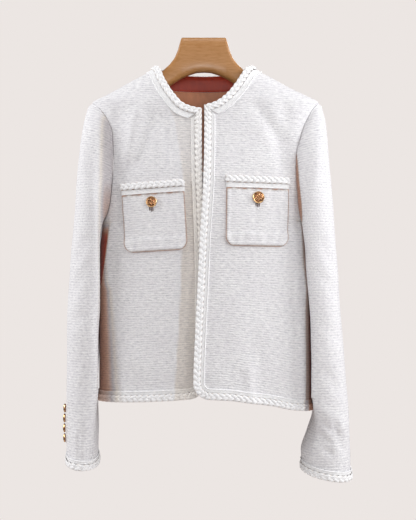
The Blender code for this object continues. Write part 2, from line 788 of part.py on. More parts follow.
def make_pockets(tweed, plait):
    for tag, pocket in POCKETS.items():
        lapping = pocket["side"] > 0
        v = np.array((0.0, 16.0, 36.0, 56.0, 76.0, 95.0, 102.0, 107.0, POCKET_HEIGHT))
        rise = np.clip(v - (POCKET_HEIGHT - POCKET_RADIUS), 0.0, POCKET_RADIUS)
        half = POCKET_WIDTH / 2 - POCKET_RADIUS + np.sqrt(POCKET_RADIUS**2 - rise**2)
        u = half[:, None] * np.linspace(-1, 1, 9)[None, :]
        x, z = pocket_place(pocket, u, np.broadcast_to(v[:, None], u.shape))
        under = on_front(x, z, np.full(x.shape, POCKET_SEAT), lapping)
        over = on_front(x, z, np.full(x.shape, POCKET_SEAT + POCKET_CLOTH), lapping)
        slab(f"pocket_{tag}", over, under, tweed)

        def place(along, across, out, pocket=pocket, lapping=lapping):
            x, z = pocket_place(pocket, along - POCKET_WIDTH / 2 - 1.0, across - 1.0)
            return on_front(x, z, out + POCKET_SEAT + POCKET_CLOTH, lapping)

        rings = trim_rings(even_stations(POCKET_WIDTH + 2.0), POCKET_TRIM_WIDTH, place)
        loft(f"trim_pocket_{tag}", rings, plait)


def make_button(name, centre, normal, radius, gold, sides):
    """Domed metal button: a short base, a rim and a low dome."""
    profile = ((0.86, 0.0), (1.0, 0.16), (0.97, 0.34), (0.66, 0.52), (0.3, 0.6))
    away = unit(np.asarray(normal, float))
    first = unit(np.cross(away, (0.0, 0.0, 1.0)))
    second = np.cross(away, first)
    turn = np.linspace(0, 2 * np.pi, sides, endpoint=False)
    circle = np.cos(turn)[:, None] * first + np.sin(turn)[:, None] * second
    rings = [centre + circle * radius * share + away * radius * up for share, up in profile]
    return loft(name, np.array(rings), gold)


def make_buttons(gold):
    seat = POCKET_SEAT + POCKET_CLOTH + POCKET_BUTTON_SEAT
    for tag, pocket in POCKETS.items():
        x, z = (np.array([value]) for value in pocket["button"])
        lapping = pocket["side"] > 0
        base = on_front(x, z, np.array([seat]), lapping)[0]
        normal = on_front(x, z, np.array([seat + 1.0]), lapping)[0] - base
        make_button(f"button_pocket_{tag}", base, normal, POCKET_BUTTON_RADIUS, gold, 20)
    last = len(SLEEVE_RIGHT["outer_x"]) - 1.0
    for side, tag in ((-1, "right"), (1, "left")):
        fine = np.linspace(last - 4, last, 200)
        turn = np.full_like(fine, CUFF_BUTTON_TURN[side])
        line = sleeve_surface(side, turn, fine)
        up = np.cumsum(np.linalg.norm(np.diff(line[::-1], axis=0), axis=1))
        for number in range(4):
            distance = CUFF_BUTTON_FIRST + number * CUFF_BUTTON_PITCH
            ring = np.array([np.interp(distance, np.concatenate([[0], up]), fine[::-1])])
            base = sleeve_points(side, turn[:1], ring, np.array([CUFF_BUTTON_SEAT]))[0]
            normal = sleeve_normal(side, turn[:1], ring)[0]
            name = f"button_cuff_{tag}_{number + 1}"
            make_button(name, base, normal, CUFF_BUTTON_RADIUS, gold, 10)


# ---------------------------------------------------------------- hanger


def seam_height(x, side):
    """Height of the shoulder seam over a point of the hanger."""
    heights = np.linspace(SHOULDER_TIP, NECK_POINT, 120)
    widths = half_width(np.full(120, float(side)), heights)
    return float(np.interp(abs(x), widths[::-1], heights[::-1]))


def tucked(points, room):
    """The points moved inwards until they lie at least `room` under the body's surface."""
    for _ in range(12):
        slope = gradient(points)
        size = np.linalg.norm(slope, axis=-1)
        short = np.maximum(level(points) / size + room, 0.0)
        points = points - (short / size)[:, None] * slope
    return points


def make_hanger(wood):
    """Rounded bar whose section widens along the arms, with its flat top in the middle."""
    upper = [(0.0, 1.0), (0.55, 1.0), (0.86, 0.86), (1.0, 0.55)]
    lower = [(u, -v) for u, v in upper[::-1]]
    half = upper + lower
    section = np.array(half + [(-u, v) for u, v in half[-2:0:-1]])
    rings = []
    for out in np.concatenate([-HANGER["out"][:0:-1], HANGER["out"]]):
        x = out + HANGER_MIDDLE
        top, under, thick = (
            float(np.interp(abs(out), HANGER["out"], HANGER[name])) for name in ("top", "under", "half")
        )
        if abs(out) > HANGER_SHOULDER:
            top = seam_height(x, math.copysign(1, x)) - HANGER_CREST_DROP
        middle, tall = (top + under) / 2, (top - under) / 2
        ring = np.stack(
            [np.full(len(section), x), section[:, 0] * thick, middle + section[:, 1] * tall], axis=1
        )
        if abs(out) > HANGER_SHOULDER:
            ring[1:] = tucked(ring[1:], HANGER_SIDE_ROOM)
            ring[:, 0] = x
        rings.append(ring)
    loft("hanger", np.array(rings), wood)


def main():
    for old in list(bpy.data.objects):
        bpy.data.objects.remove(old, do_unlink=True)
    tweed = finish("cream_tweed", (0.80, 0.77, 0.75), 0.9)
    plait = finish("white_plait", (0.86, 0.85, 0.84), 0.8)
    satin = finish("brown_satin", (0.33, 0.13, 0.08), 0.4)
    facing = finish("rust_facing", (0.19, 0.03, 0.01), 0.45)
    gold = finish("gold_button", (0.72, 0.45, 0.22), 0.3, 1.0)
    wood = finish("tan_wood", (0.45, 0.25, 0.11), 0.5)
    make_panels(tweed, satin, facing)
    make_sleeves(tweed)
    make_edge_trims(plait)
    make_cuff_trims(plait)
    make_pockets(tweed, plait)
    make_buttons(gold)
    make_hanger(wood)


main()
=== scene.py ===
"""Looks of a cropped tweed jacket with plaited trim, hung on a broad moulded wooden hanger.

Shapes are worked out in millimetres and the meshes are in metres. X runs to the wearer's left, the
wearer would face -Y, Z is up, and the origin is on the hanger's flat top.
"""

import math

import bpy
import numpy as np
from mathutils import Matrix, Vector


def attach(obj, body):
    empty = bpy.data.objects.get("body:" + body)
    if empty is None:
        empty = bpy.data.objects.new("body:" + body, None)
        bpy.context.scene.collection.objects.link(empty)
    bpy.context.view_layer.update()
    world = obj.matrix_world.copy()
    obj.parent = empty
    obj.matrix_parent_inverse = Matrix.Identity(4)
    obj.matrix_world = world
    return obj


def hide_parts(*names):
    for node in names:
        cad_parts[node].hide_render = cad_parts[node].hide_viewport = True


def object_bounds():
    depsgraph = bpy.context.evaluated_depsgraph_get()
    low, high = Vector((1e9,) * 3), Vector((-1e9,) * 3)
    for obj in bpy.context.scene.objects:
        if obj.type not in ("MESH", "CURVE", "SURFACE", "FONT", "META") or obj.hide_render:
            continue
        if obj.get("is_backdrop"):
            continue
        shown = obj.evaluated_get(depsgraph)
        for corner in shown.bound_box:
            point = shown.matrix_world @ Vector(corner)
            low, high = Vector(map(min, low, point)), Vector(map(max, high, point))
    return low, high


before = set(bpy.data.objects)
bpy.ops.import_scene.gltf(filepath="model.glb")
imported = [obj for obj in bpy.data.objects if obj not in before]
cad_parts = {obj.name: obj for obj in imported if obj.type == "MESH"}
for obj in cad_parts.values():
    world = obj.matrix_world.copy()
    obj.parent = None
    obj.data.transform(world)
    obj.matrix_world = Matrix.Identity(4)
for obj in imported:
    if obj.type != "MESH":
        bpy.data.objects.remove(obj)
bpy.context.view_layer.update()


# ---------------------------------------------------------------- camera, floor and light
# A plain pale room with a floor of matt paint. The jacket hangs clear of the floor among six large
# soft lamps, and the pale walls fill in the rest.

PALE_PAINT = "#ECE6E3"
LAMP_AIM = (0.0, 0.0, -0.35)
FLOOR_HALF, FLOOR_HEIGHT = 1.2, -1.5


def linear(code):
    """sRGB hex colour as linear RGBA: value / 12.92 near black, else ((value + 0.055) / 1.055) ^ 2.4."""
    values = [int(code[k : k + 2], 16) / 255 for k in (1, 3, 5)]
    return tuple(v / 12.92 if v <= 0.04045 else ((v + 0.055) / 1.055) ** 2.4 for v in values) + (1.0,)


def add_node(tree, kind, inputs=(), stops=(), **settings):
    """A node with its settings; each input is given a value or the socket that feeds it.

    `stops` are a ramp's places and colours, from its low end to its high end.
    """
    node = tree.nodes.new(kind)
    for name, value in settings.items():
        setattr(node, name, value)
    for name, value in dict(inputs).items():
        if isinstance(value, bpy.types.NodeSocket):
            tree.links.new(value, node.inputs[name])
        else:
            node.inputs[name].default_value = value
    if stops:
        ends = node.color_ramp.elements
        ends[0].position, ends[1].position = stops[0][0], stops[-1][0]
        ends[0].color, ends[1].color = linear(stops[0][1]), linear(stops[-1][1])
        for place, code in stops[1:-1]:
            ends.new(place).color = linear(code)
    return node


def new_material(name, **surface):
    """A Principled material, its sockets set by name, and its node tree and shader."""
    material = bpy.data.materials.new(name)
    material.use_nodes = True
    shader = material.node_tree.nodes["Principled BSDF"]
    for socket, value in surface.items():
        shader.inputs[socket.replace("_", " ")].default_value = value
    return material, material.node_tree, shader


camera_data = bpy.data.cameras.new("camera")
camera_data.sensor_width = 36.0
camera_data.lens = 18.0 / math.tan(math.radians(15.0))
camera = bpy.data.objects.new("camera", camera_data)
camera.location = (0.0058, -1.6, -0.366)
camera.rotation_euler = (math.radians(90.0), 0.0, 0.0)
bpy.context.scene.collection.objects.link(camera)
bpy.context.scene.camera = camera
bpy.context.scene.view_settings.view_transform = "Standard"

# The room's walls look pale, and give a weak warm light; the lamps are large, cool and white.
room = bpy.data.worlds.new("pale_room")
room.use_nodes = True
tree = room.node_tree
walls = tree.nodes["Background"]
walls.inputs["Color"].default_value = linear(PALE_PAINT)
bounce = add_node(tree, "ShaderNodeBackground", {"Color": linear("#EADBD3"), "Strength": 0.22})
seen = add_node(tree, "ShaderNodeLightPath").outputs["Is Camera Ray"]
mixed = add_node(tree, "ShaderNodeMixShader", {0: seen, 1: bounce.outputs[0], 2: walls.outputs[0]})
tree.links.new(mixed.outputs[0], tree.nodes["World Output"].inputs["Surface"])
bpy.context.scene.world = room

for name, place, size, power in (
    ("key_lamp", (1.3, -1.5, 0.5), 0.7, 11.2),
    ("front_lamp", (0.0, -1.7, -0.3), 0.4, 6.8),
    ("top_lamp", (0.1, -0.7, 1.2), 0.8, 6.0),
    ("left_lamp", (-1.7, -0.1, 0.3), 1.0, 27.0),
    ("right_lamp", (1.7, -0.3, 0.3), 1.0, 23.5),
    ("back_lamp", (0.4, 1.9, 0.5), 0.9, 16.0),
):
    lamp = bpy.data.lights.new(name, "AREA")
    lamp.size, lamp.energy = size, power
    lamp.color = linear("#FCFDFF")[:3]
    lamp_object = bpy.data.objects.new(name, lamp)
    lamp_object.location = place
    aim = np.subtract(LAMP_AIM, place)
    yaw, pitch = math.atan2(aim[1], aim[0]), math.atan2(math.hypot(aim[0], aim[1]), -aim[2])
    lamp_object.rotation_euler = (pitch, 0.0, yaw - math.pi / 2)
    bpy.context.scene.collection.objects.link(lamp_object)

# Matt wall paint, in the walls' warm white.
floor_mesh = bpy.data.meshes.new("floor")
corners = ((-1, -1), (1, -1), (1, 1), (-1, 1))
corners = [(FLOOR_HALF * x, FLOOR_HALF * y, FLOOR_HEIGHT) for x, y in corners]
floor_mesh.from_pydata(corners, [], [(0, 1, 2, 3)])
floor = bpy.data.objects.new("floor", floor_mesh)
bpy.context.scene.collection.objects.link(floor)
floor_mesh.materials.append(new_material("matt_paint", Base_Color=linear(PALE_PAINT), Roughness=0.9)[0])
floor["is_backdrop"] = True


# ---------------------------------------------------------------- fronts
# Two fronts of white wool and cotton tweed, woven with thick slub weft yarns that lie across. Each is
# cut with a round neck and a rounded lower corner, and the wearer's left laps over the right.

MM = 0.001
CLOTH = 2.2  # thickness of the tweed
RING_POWER = 2.5  # squareness of the body's rings: 2 is an ellipse
HEM, UNDERARM, SHOULDER_TIP, NECK_POINT = -590.0, -305.0, -109.0, -50.0
NECK_HALF, BACK_NECK_FALL = 77.0, 5.0
SIDES = ((-1, "right"), (1, "left"))
CORNER_RADIUS = 27.0
LAP_START, LAP_CLEAR, LAP_LIFT = -140.0, 7.2, 13.0  # its top, and its rise on the chest and at the hem
CELL = 2.6  # spacing of the cloth's grid
FRONT_COLUMNS, SHOULDER_ROWS, CORNER_ROWS = 74, 34, 11
NECK_SLIVER = 0.985  # inner over outer edge of a front at the neck point, where it comes to a point
ROLL_DEPTH, ROLL_LENGTH = 0.45, 2.0  # of the cloth's edge, rolled under into a seam


def table(text):
    """Rows of numbers under a line of column names, as one array for each column."""
    lines = [line.split() for line in text.strip().splitlines()]
    return dict(zip(lines[0], np.array(lines[1:], float).T))


# Half widths and depths of the body's rings. Above the shoulder tip the width is the shoulder seam.
BODY = table("""
height right  left front back
-650   172.4 175.6  69.0 60.0
-590   172.4 175.6  69.0 60.0
-500   173.2 175.7  68.0 60.0
-400   173.0 173.5  68.0 61.0
-350   172.0 171.0  68.5 62.0
-305   167.4 168.5  68.0 62.0
-250   169.0 170.0  66.0 61.0
-200   172.0 173.5  62.0 59.0
-150   178.0 181.0  56.0 56.0
-109   184.5 188.0  49.0 53.0
-96    162.3 166.0  45.0 52.0
-86    143.5 145.0  43.0 51.0
-76    126.0 126.5  40.0 50.0
-66    107.3 108.3  37.0 49.0
-56     88.0  87.5  34.0 47.0
-50     77.0  75.0  31.0 44.0
-44     67.0  64.0  28.0 41.0
""")

# Armhole seam: its distance from the middle on the front and on the back of each side.
ARMHOLE = table("""
height front_right front_left back_right back_left
-305         167.0      168.5      167.0     168.5
-300         161.0      162.0      163.5     165.0
-290         156.0      157.0      160.0     161.0
-270         151.0      151.5      156.0     157.0
-240         148.5      149.0      154.0     155.0
-200         147.5      148.5      154.0     156.0
-160         149.0      157.0      158.0     163.0
-135         159.0      168.0      166.0     171.0
-120         171.0      177.0      175.0     180.0
-109         184.5      188.0      184.5     188.0
""")

# Neck edge of each front, from the shoulder to the front opening.
NECK = {
    -1: table("""
out  height
77.0    -50
71.8    -54
66.4    -68
56.4    -87
44.5   -104
33.5   -115
19.0   -121
3.9    -124
"""),
    1: table("""
out  height
75.0    -50
67.5    -54
58.5    -67
48.6    -83
31.0 -103.5
15.2 -113.6
-0.5   -118
"""),
}

# Free edge of each front, from the hem to the neck.
EDGE = {
    -1: table("""
height    x
-590    3.0
-400    2.7
-330    1.0
-200   -3.4
-124   -3.9
"""),
    1: table("""
height     x
-590   -18.0
-540   -16.7
-466   -13.8
-414   -11.2
-325    -7.1
-250    -2.2
-190    -0.6
-118    -0.5
"""),
}

# How far the hem falls below its level line, on the front and the back.
HEM_FALL = table("""
x    front  back
-176  -5.0  -5.0
-125  -2.5  -4.5
-50    1.5  -4.0
0      5.0  -4.0
40     3.0  -5.0
65    -1.0  -6.0
110   -8.5  -9.0
140  -16.0 -14.0
176  -21.0 -21.0
""")

# Soft troughs (depth below zero) and ridges of the fronts and of the back: line ends, width, depth.
FRONT_FOLDS = table("""
x0     z0   x1   z1 width depth
-136 -135 -139 -235    13  -2.6
128  -125  134 -240    13  -3.0
-126 -592 -120 -500    16   3.2
-92  -592  -96 -520    15   2.4
66   -592   70 -520    17   3.0
-103 -121 -125 -208    12   3.6
-87  -134 -110 -224    13  -3.8
-110 -205 -133 -238     7  -1.6
-140 -124 -147 -190     8  -1.2
-68  -132  -52 -196    13  -3.2
112  -150  104 -205    14  -0.8
60   -160   48 -225    18  -0.6
-142 -300 -112 -330    12  -1.0
146  -300  112 -345    13  -1.1
-120 -400 -128 -470    12  -0.9
122  -380  132 -460    14  -1.0
-34  -470  -28 -560    14   0.8
30   -430   22 -540    16  -0.8
-66  -420  -58 -520    12  -0.7
98   -470  104 -560    13   0.9
78   -112  117 -170    11  -2.8
117  -170  124 -222    11  -2.4
104  -112  142 -172    12   1.6
86   -128  104 -178    12   0.9
153  -270  159 -410     8   4.2
160  -400  160 -592     8   4.2
-140 -530 -134 -585     5  -1.2
-127 -545 -125 -590     5   1.0
-112 -540 -112 -590     6  -1.0
58   -545   62 -585     5  -1.0
71   -540   73 -585     6   0.9
""")
BACK_FOLDS = table("""
x0     z0   x1   z1 width depth
-128 -130 -124 -260    15  -2.6
126  -130  121 -270    15  -2.8
-70  -590  -60 -470    22   3.0
10   -420   14 -520    34  -2.0
86   -596   78 -480    22   3.0
-96  -150  -60 -190    14  -0.9
98   -150   58 -196    16  -1.0
-146 -300 -104 -340    14  -1.1
148  -300  110 -336    13  -1.0
-30  -470  -24 -570    14   0.8
44   -460   50 -560    15   0.8
-118 -460 -124 -560    13  -1.0
124  -450  130 -560    14  -1.1
""")

# Painted shade on the fronts beside the sleeves and painted shadow under the lap: X where each begins,
# down the front.
SHADE_RIGHT = table("""
height   dark fade   lap
-590   -190.0 40.0 -48.5
-560   -190.0 34.0 -47.0
-480   -190.0 28.0 -42.0
-414   -172.0 22.0 -38.7
-402   -165.8 16.0 -38.0
-362   -160.2 12.0 -37.0
-318   -153.8  8.0 -35.5
-300   -150.0  6.0 -34.5
-255   -150.0  4.0 -32.3
-201   -150.0  4.0 -39.6
-144   -160.0  4.0 -48.8
-126   -170.0  4.0 -56.0
""")
SHADE_LEFT = table("""
height strip
-590   160.7
-516   160.7
-409   159.4
-374   156.0
-321   154.0
-268   151.2
-240   160.0
""")


def smooth(knots, values, at):
    """Cubic through the knots that never overshoots them, and runs on straight past its ends."""
    step = np.diff(knots)
    slope = np.diff(values) / step
    same_way = slope[:-1] * slope[1:] > 0
    total = np.where(same_way, slope[:-1] + slope[1:], 1.0)
    inner = np.where(same_way, 2 * slope[:-1] * slope[1:] / total, 0.0)
    tangent = np.concatenate([slope[:1], inner, slope[-1:]])
    inside = np.clip(at, knots[0], knots[-1])
    i = np.clip(np.searchsorted(knots, inside) - 1, 0, len(step) - 1)
    t = (inside - knots[i]) / step[i]
    curve = (
        (1 + 2 * t) * (1 - t) ** 2 * values[i]
        + t * (1 - t) ** 2 * step[i] * tangent[i]
        + t * t * (3 - 2 * t) * values[i + 1]
        + t * t * (t - 1) * step[i] * tangent[i + 1]
    )
    return curve + np.where(at < inside, tangent[0], tangent[-1]) * (at - inside)


def curve(knots, name, at):
    """Smooth curve through one column of a table, against its first column."""
    return smooth(next(iter(knots.values())), knots[name], at)


def ease(t):
    """Soft step from 0 to 1: 3 t^2 - 2 t^3."""
    t = np.clip(t, 0.0, 1.0)
    return t * t * (3 - 2 * t)


def bell(value, middle, spread):
    """exp(-((value - middle) / spread)^2)."""
    return np.exp(-(((value - middle) / spread) ** 2))


def unit(vectors):
    """Each vector over its length."""
    return vectors / np.linalg.norm(vectors, axis=-1, keepdims=True)


def signed_power(value, power):
    """sign(value) * |value|^power."""
    return np.sign(value) * np.abs(value) ** power


def reach_of(path):
    """Distance along a path of points, from its start to each point."""
    return np.concatenate([[0.0], np.cumsum(np.linalg.norm(np.diff(path, axis=0), axis=1))])


def half_width(x, z):
    """Half width of the body's ring at a height, on the side where x lies."""
    return np.where(x < 0, curve(BODY, "right", z), curve(BODY, "left", z))


def depth(y, z):
    """Half depth of the body's ring at a height, on the front or the back as y says."""
    return np.where(y < 0, curve(BODY, "front", z), curve(BODY, "back", z))


def level(points):
    """|x / half width|^p + |y / depth|^p - 1: zero on the body's surface, above zero outside it."""
    x, y, z = np.moveaxis(points, -1, 0)
    across = np.abs(x / half_width(x, z)) ** RING_POWER
    return across + np.abs(y / depth(y, z)) ** RING_POWER - 1


def gradient(points, step=0.05):
    """Slope of `level` along X, Y and Z, by differences of a small step."""
    slopes = [(level(points + axis) - level(points - axis)) / (2 * step) for axis in np.eye(3) * step]
    return np.stack(slopes, axis=-1)


def even_turn(x, z):
    """Evened turn of x on its ring: asin(|x / half width|^(p/2))^0.8, scaled to pi/2 at the side."""
    share = np.clip(np.abs(x / half_width(x, z)), 0.0, 1.0)
    return np.sign(x) * np.arcsin(share ** (RING_POWER / 2)) ** 0.8 * (np.pi / 2) ** 0.2


def ring_grid(z, first_x, last_x, side, columns):
    """Grid on the plain surface, a row for each height, the columns at even steps of the turn t:
    x = half width * sin(t)^(2/p), y = depth * cos(t)^(2/p)."""
    start, end = even_turn(first_x, z), even_turn(last_x, z)
    even = start[:, None] + (end - start)[:, None] * np.linspace(0.0, 1.0, columns)
    turn = signed_power(even, 1.25) * (np.pi / 2) ** -0.25
    height = np.broadcast_to(z[:, None], turn.shape)
    sine, cosine = np.sin(turn), np.cos(turn)
    x = half_width(sine, height) * signed_power(sine, 2 / RING_POWER)
    y = side * depth(float(side), height) * np.abs(cosine) ** (2 / RING_POWER)
    return np.stack([x, y, height], axis=-1)


def fold_height(folds, x, z):
    """Sum of soft ridges and troughs: depth * exp(-(off / width)^2), fading at the line's ends."""
    height = np.zeros_like(x)
    for x0, z0, x1, z1, width, deep in zip(*folds.values()):
        run_x, run_z = x1 - x0, z1 - z0
        size = math.hypot(run_x, run_z)
        along = ((x - x0) * run_x + (z - z0) * run_z) / size**2
        off = ((x - x0) * run_z - (z - z0) * run_x) / size
        fade = ease((along + 0.25) / 0.4) * ease((1.25 - along) / 0.5)
        height = height + deep * np.exp(-((off / width) ** 2)) * fade
    return height


def ripple(x, z):
    """Slight unevenness of hung cloth: a few crossed sine waves, 70 to 170 mm long."""
    first = np.sin(x / 19.0 + z / 83.0 + 0.7) * np.sin(z / 31.0 - x / 57.0 + 1.9)
    second = np.sin(x / 11.0 - z / 47.0 + 2.2) * np.sin(z / 17.0 + x / 29.0)
    return 0.45 * first + 0.16 * second


def towards_hem(z):
    """Soft step from 0 at the waist, 330 mm down, to 1 near the hem."""
    return ease((-330.0 - z) / 250.0)


def relief(points, lapping):
    """How far folds, unevenness and the lap push the cloth out."""
    x, y, z = np.moveaxis(points, -1, 0)
    height = np.where(y < 0, fold_height(FRONT_FOLDS, x, z), fold_height(BACK_FOLDS, x, z))
    height = height + ripple(x, z) * ease((-95.0 - z) / 60.0)
    if lapping:
        low = ease((LAP_START - z) / 95.0) * LAP_CLEAR + towards_hem(z) * (LAP_LIFT - LAP_CLEAR)
        height = height + np.where(y < 0, low * (1 - ease((x - 10.0) / 110.0)), 0.0)
    return height


def fall(points):
    """How far the hem and the back of the neck hang below their level rows."""
    x, y, z = np.moveaxis(points, -1, 0)
    hem = np.where(y < 0, curve(HEM_FALL, "front", x), curve(HEM_FALL, "back", x)) * towards_hem(z)
    neck = np.clip(1 - (x / NECK_HALF) ** 2, 0.0, 1.0) ** 1.5 * ease((z + 120.0) / 70.0)
    return hem - np.where(y > 0, BACK_NECK_FALL * neck, 0.0)


def hang(points, out, lapping=False):
    """The points moved `out` along the surface's normal, with folds, lap and falling hem."""
    moved = points + unit(gradient(points)) * (out + relief(points, lapping))[..., None]
    moved[..., 2] += fall(points)
    return moved


def edge_curve(knots):
    """Fine neck edge as (distance from the middle, height), by the length along its knots."""
    at = reach_of(np.stack([knots["out"], knots["height"]], axis=1))
    fine = np.linspace(0, at[-1], 200)
    return smooth(at, knots["out"], fine), smooth(at, knots["height"], fine)


def free_edge_x(z, side):
    """X of a front's free edge: neck curve on top, then the opening, then an arc into the hem."""
    out, height = edge_curve(NECK[side])
    at_neck = side * np.interp(z, height[::-1], out[::-1])
    above = np.clip(z - HEM, 0.0, CORNER_RADIUS)
    corner = CORNER_RADIUS - np.sqrt(CORNER_RADIUS**2 - (CORNER_RADIUS - above) ** 2)
    opening_x = curve(EDGE[side], "x", z) + side * corner
    return np.where(z > NECK[side]["height"][-1], at_neck, opening_x)


def outer_edge_x(z, side, face):
    """X of a panel's outer edge: armhole from underarm to shoulder tip, else the ring's side."""
    armhole = curve(ARMHOLE, f"{face}_{dict(SIDES)[side]}", z)
    ring = half_width(float(side), z)
    at_armhole = (z > UNDERARM) & (z < SHOULDER_TIP)
    return side * np.where(at_armhole, np.minimum(armhole, ring), ring * 0.99998)


def closed_mesh(parts, name, material, bend=50.0):
    """One object from parts of (points in mm, faces, weave coordinates), sharp where it bends further
    than `bend` degrees. A part faces inwards where the sum of a . (b x c) over its triangles is below
    zero, and is turned."""
    points, faces, weaves, start = [], [], [], 0
    for part_points, part_faces, weave in parts:
        part_points = part_points.reshape(-1, 3)
        volume = 0.0
        for corners in part_faces:
            first = part_points[corners[:, 0]]
            for k in range(1, corners.shape[1] - 1):
                fan = np.cross(part_points[corners[:, k]], part_points[corners[:, k + 1]])
                volume += (first * fan).sum()
        for corners in part_faces:
            faces.extend(((corners[:, ::-1] if volume < 0 else corners) + start).tolist())
        points.append(part_points)
        weaves.append(weave.reshape(-1, 3))
        start += len(part_points)
    mesh = bpy.data.meshes.new(name)
    mesh.from_pydata(np.concatenate(points) * MM, [], faces)
    mesh.materials.append(material)
    mesh.shade_smooth()
    mesh.set_sharp_from_angle(angle=math.radians(bend))
    attribute = mesh.attributes.new("weave", "FLOAT_VECTOR", "POINT")
    attribute.data.foreach_set("vector", np.concatenate(weaves).ravel())
    piece = bpy.data.objects.new(name, mesh)
    bpy.context.scene.collection.objects.link(piece)
    return piece


def wall(outer, inner, weave):
    """Closed wall between two grids: both sides as quads, and a rim round their border."""
    rows, columns = outer.shape[:2]
    count = rows * columns
    index = np.arange(count).reshape(rows, columns)
    side = np.stack([index[:-1, :-1], index[:-1, 1:], index[1:, 1:], index[1:, :-1]], axis=-1)
    side = side.reshape(-1, 4)
    border = np.concatenate([index[0, :], index[1:, -1], index[-1, -2::-1], index[-2:0:-1, 0]])
    after = np.roll(border, -1)
    rim = np.stack([after, border, border + count, after + count], axis=1)
    points = np.concatenate([outer.reshape(-1, 3), inner.reshape(-1, 3)])
    faces = [np.concatenate([side, side[:, ::-1] + count, rim])]
    return points, faces, np.concatenate([weave.reshape(-1, 3)] * 2)


def hung_wall(grid, out, thick, weave, lapping=False):
    """Wall of a panel of the body, with its outer side `out` from the plain surface."""
    return wall(hang(grid, out, lapping), hang(grid, out - thick, lapping), weave)


def weave_of(grid, origin=0.0):
    """Place on the cloth in mm: distance along the row from `origin`, height, and no shade."""
    weave = np.zeros(grid.shape)
    weave[:, 1:, 0] = np.linalg.norm(np.diff(grid, axis=1), axis=-1).cumsum(axis=1)
    weave[..., 0] += np.broadcast_to(origin, len(grid))[:, None]
    weave[..., 1] = grid[..., 2]
    return weave


def shaded(tree, colour, amount):
    """Painted shade: the colour times a ramp of white, beige at 0.15, grey at 0.3, brown from 0.5, rust
    from 0.85.
    """
    ramp = add_node(tree, "ShaderNodeValToRGB", {"Fac": amount}, stops=(
        (0.0, "#FFFFFF"), (0.15, "#F3EDE4"), (0.3, "#D1CDCE"), (0.5, "#D4AF9A"), (0.7, "#B88268"),
        (0.85, "#B2583E"), (1.0, "#A03A22"),
    ))
    return add_node(
        tree, "ShaderNodeMix", {"Factor": 1.0, "A": colour, "B": ramp.outputs["Color"]},
        data_type="RGBA", blend_type="MULTIPLY",
    ).outputs["Result"]


def tweed(name, pitch, wander, slub_length, relief):
    """Level rows sin(2 pi (height + drift) / pitch), thick and thin by slubs, as colour and as bump.

    `weave` holds places on the cloth in mm, and in its Z how deep the painted warm shade between the
    pieces is.
    """
    material, tree, shader = new_material(
        name, Roughness=0.92, Sheen_Weight=0.2, Sheen_Roughness=0.6, Specular_IOR_Level=0.15
    )
    place = add_node(tree, "ShaderNodeAttribute", attribute_name="weave").outputs["Vector"]
    axes = add_node(tree, "ShaderNodeSeparateXYZ", {"Vector": place}).outputs
    noises = []
    for length, height, detail in (
        (38.0, 9.0, 2.0), (slub_length, pitch * 0.7, 2.0), (3.2, 2.0, 1.0), (60.0, 34.0, 2.0),
    ):
        patches = (1 / length, 1 / height, 0.0)
        scaled = add_node(tree, "ShaderNodeMapping", {"Vector": place, "Scale": patches})
        noise = add_node(
            tree, "ShaderNodeTexNoise",
            {"Vector": scaled.outputs["Vector"], "Scale": 1.0, "Detail": detail, "Roughness": 0.55},
        )
        noises.append(noise.outputs["Fac"])
    drift, slub, fibre, cloud = noises
    turn = 2 * math.pi / pitch
    phase = 0.0
    for value, weight in ((axes["Y"], turn), (drift, wander * turn)):
        phase = add_node(
            tree, "ShaderNodeMath", {0: value, 1: weight, 2: phase}, operation="MULTIPLY_ADD"
        ).outputs[0]
    row = add_node(tree, "ShaderNodeMath", {0: phase}, operation="SINE").outputs[0]
    yarn = -0.22
    for value, weight, clamp in ((row, 0.1, False), (slub, 1.0, False), (fibre, 0.5, True)):
        yarn = add_node(
            tree, "ShaderNodeMath", {0: value, 1: weight, 2: yarn},
            operation="MULTIPLY_ADD", use_clamp=clamp,
        ).outputs[0]
    greys = ((0.1, "#BDBDC3"), (0.5, "#E4E4E6"), (0.9, "#FFFFFF"))
    ramp = add_node(tree, "ShaderNodeValToRGB", {"Fac": yarn}, stops=greys)
    cloudy = add_node(
        tree, "ShaderNodeMapRange",
        {"Value": cloud, "From Min": 0.35, "From Max": 0.7, "To Min": 0.0, "To Max": 0.2},
    ).outputs["Result"]
    patched = add_node(
        tree, "ShaderNodeMix", {"Factor": cloudy, "A": ramp.outputs["Color"], "B": linear("#DAD7DE")},
        data_type="RGBA",
    ).outputs["Result"]
    # Painted shade: the weave's Z darkens the colour through the shade ramp.
    tree.links.new(shaded(tree, patched, axes["Z"]), shader.inputs["Base Color"])
    bump = add_node(
        tree, "ShaderNodeBump", {"Height": yarn, "Strength": 0.7, "Distance": relief * MM}
    )
    tree.links.new(bump.outputs["Normal"], shader.inputs["Normal"])
    return material


# Wool and cotton tweed in a cool white: dry and matt, with thick and thin weft yarns in level rows.
# The rows are drawn 3.6 mm apart, coarser than the yarn, so that they show.
white_tweed = tweed("white_wool_tweed", pitch=3.6, wander=1.6, slub_length=8.0, relief=1.2)

corner_top = HEM + CORNER_RADIUS
heights = np.concatenate([
    HEM + CORNER_RADIUS * (1 - np.cos(np.linspace(0.0, np.pi / 2, CORNER_ROWS))),
    np.linspace(corner_top, SHOULDER_TIP, round((SHOULDER_TIP - corner_top) / CELL))[1:],
    np.linspace(SHOULDER_TIP, NECK_POINT, SHOULDER_ROWS)[1:],
])


def seam_dip(distance):
    """Cloth rolling under into a seam, as a bell curve of the distance from it."""
    return -ROLL_DEPTH * bell(distance, 0.0, ROLL_LENGTH)


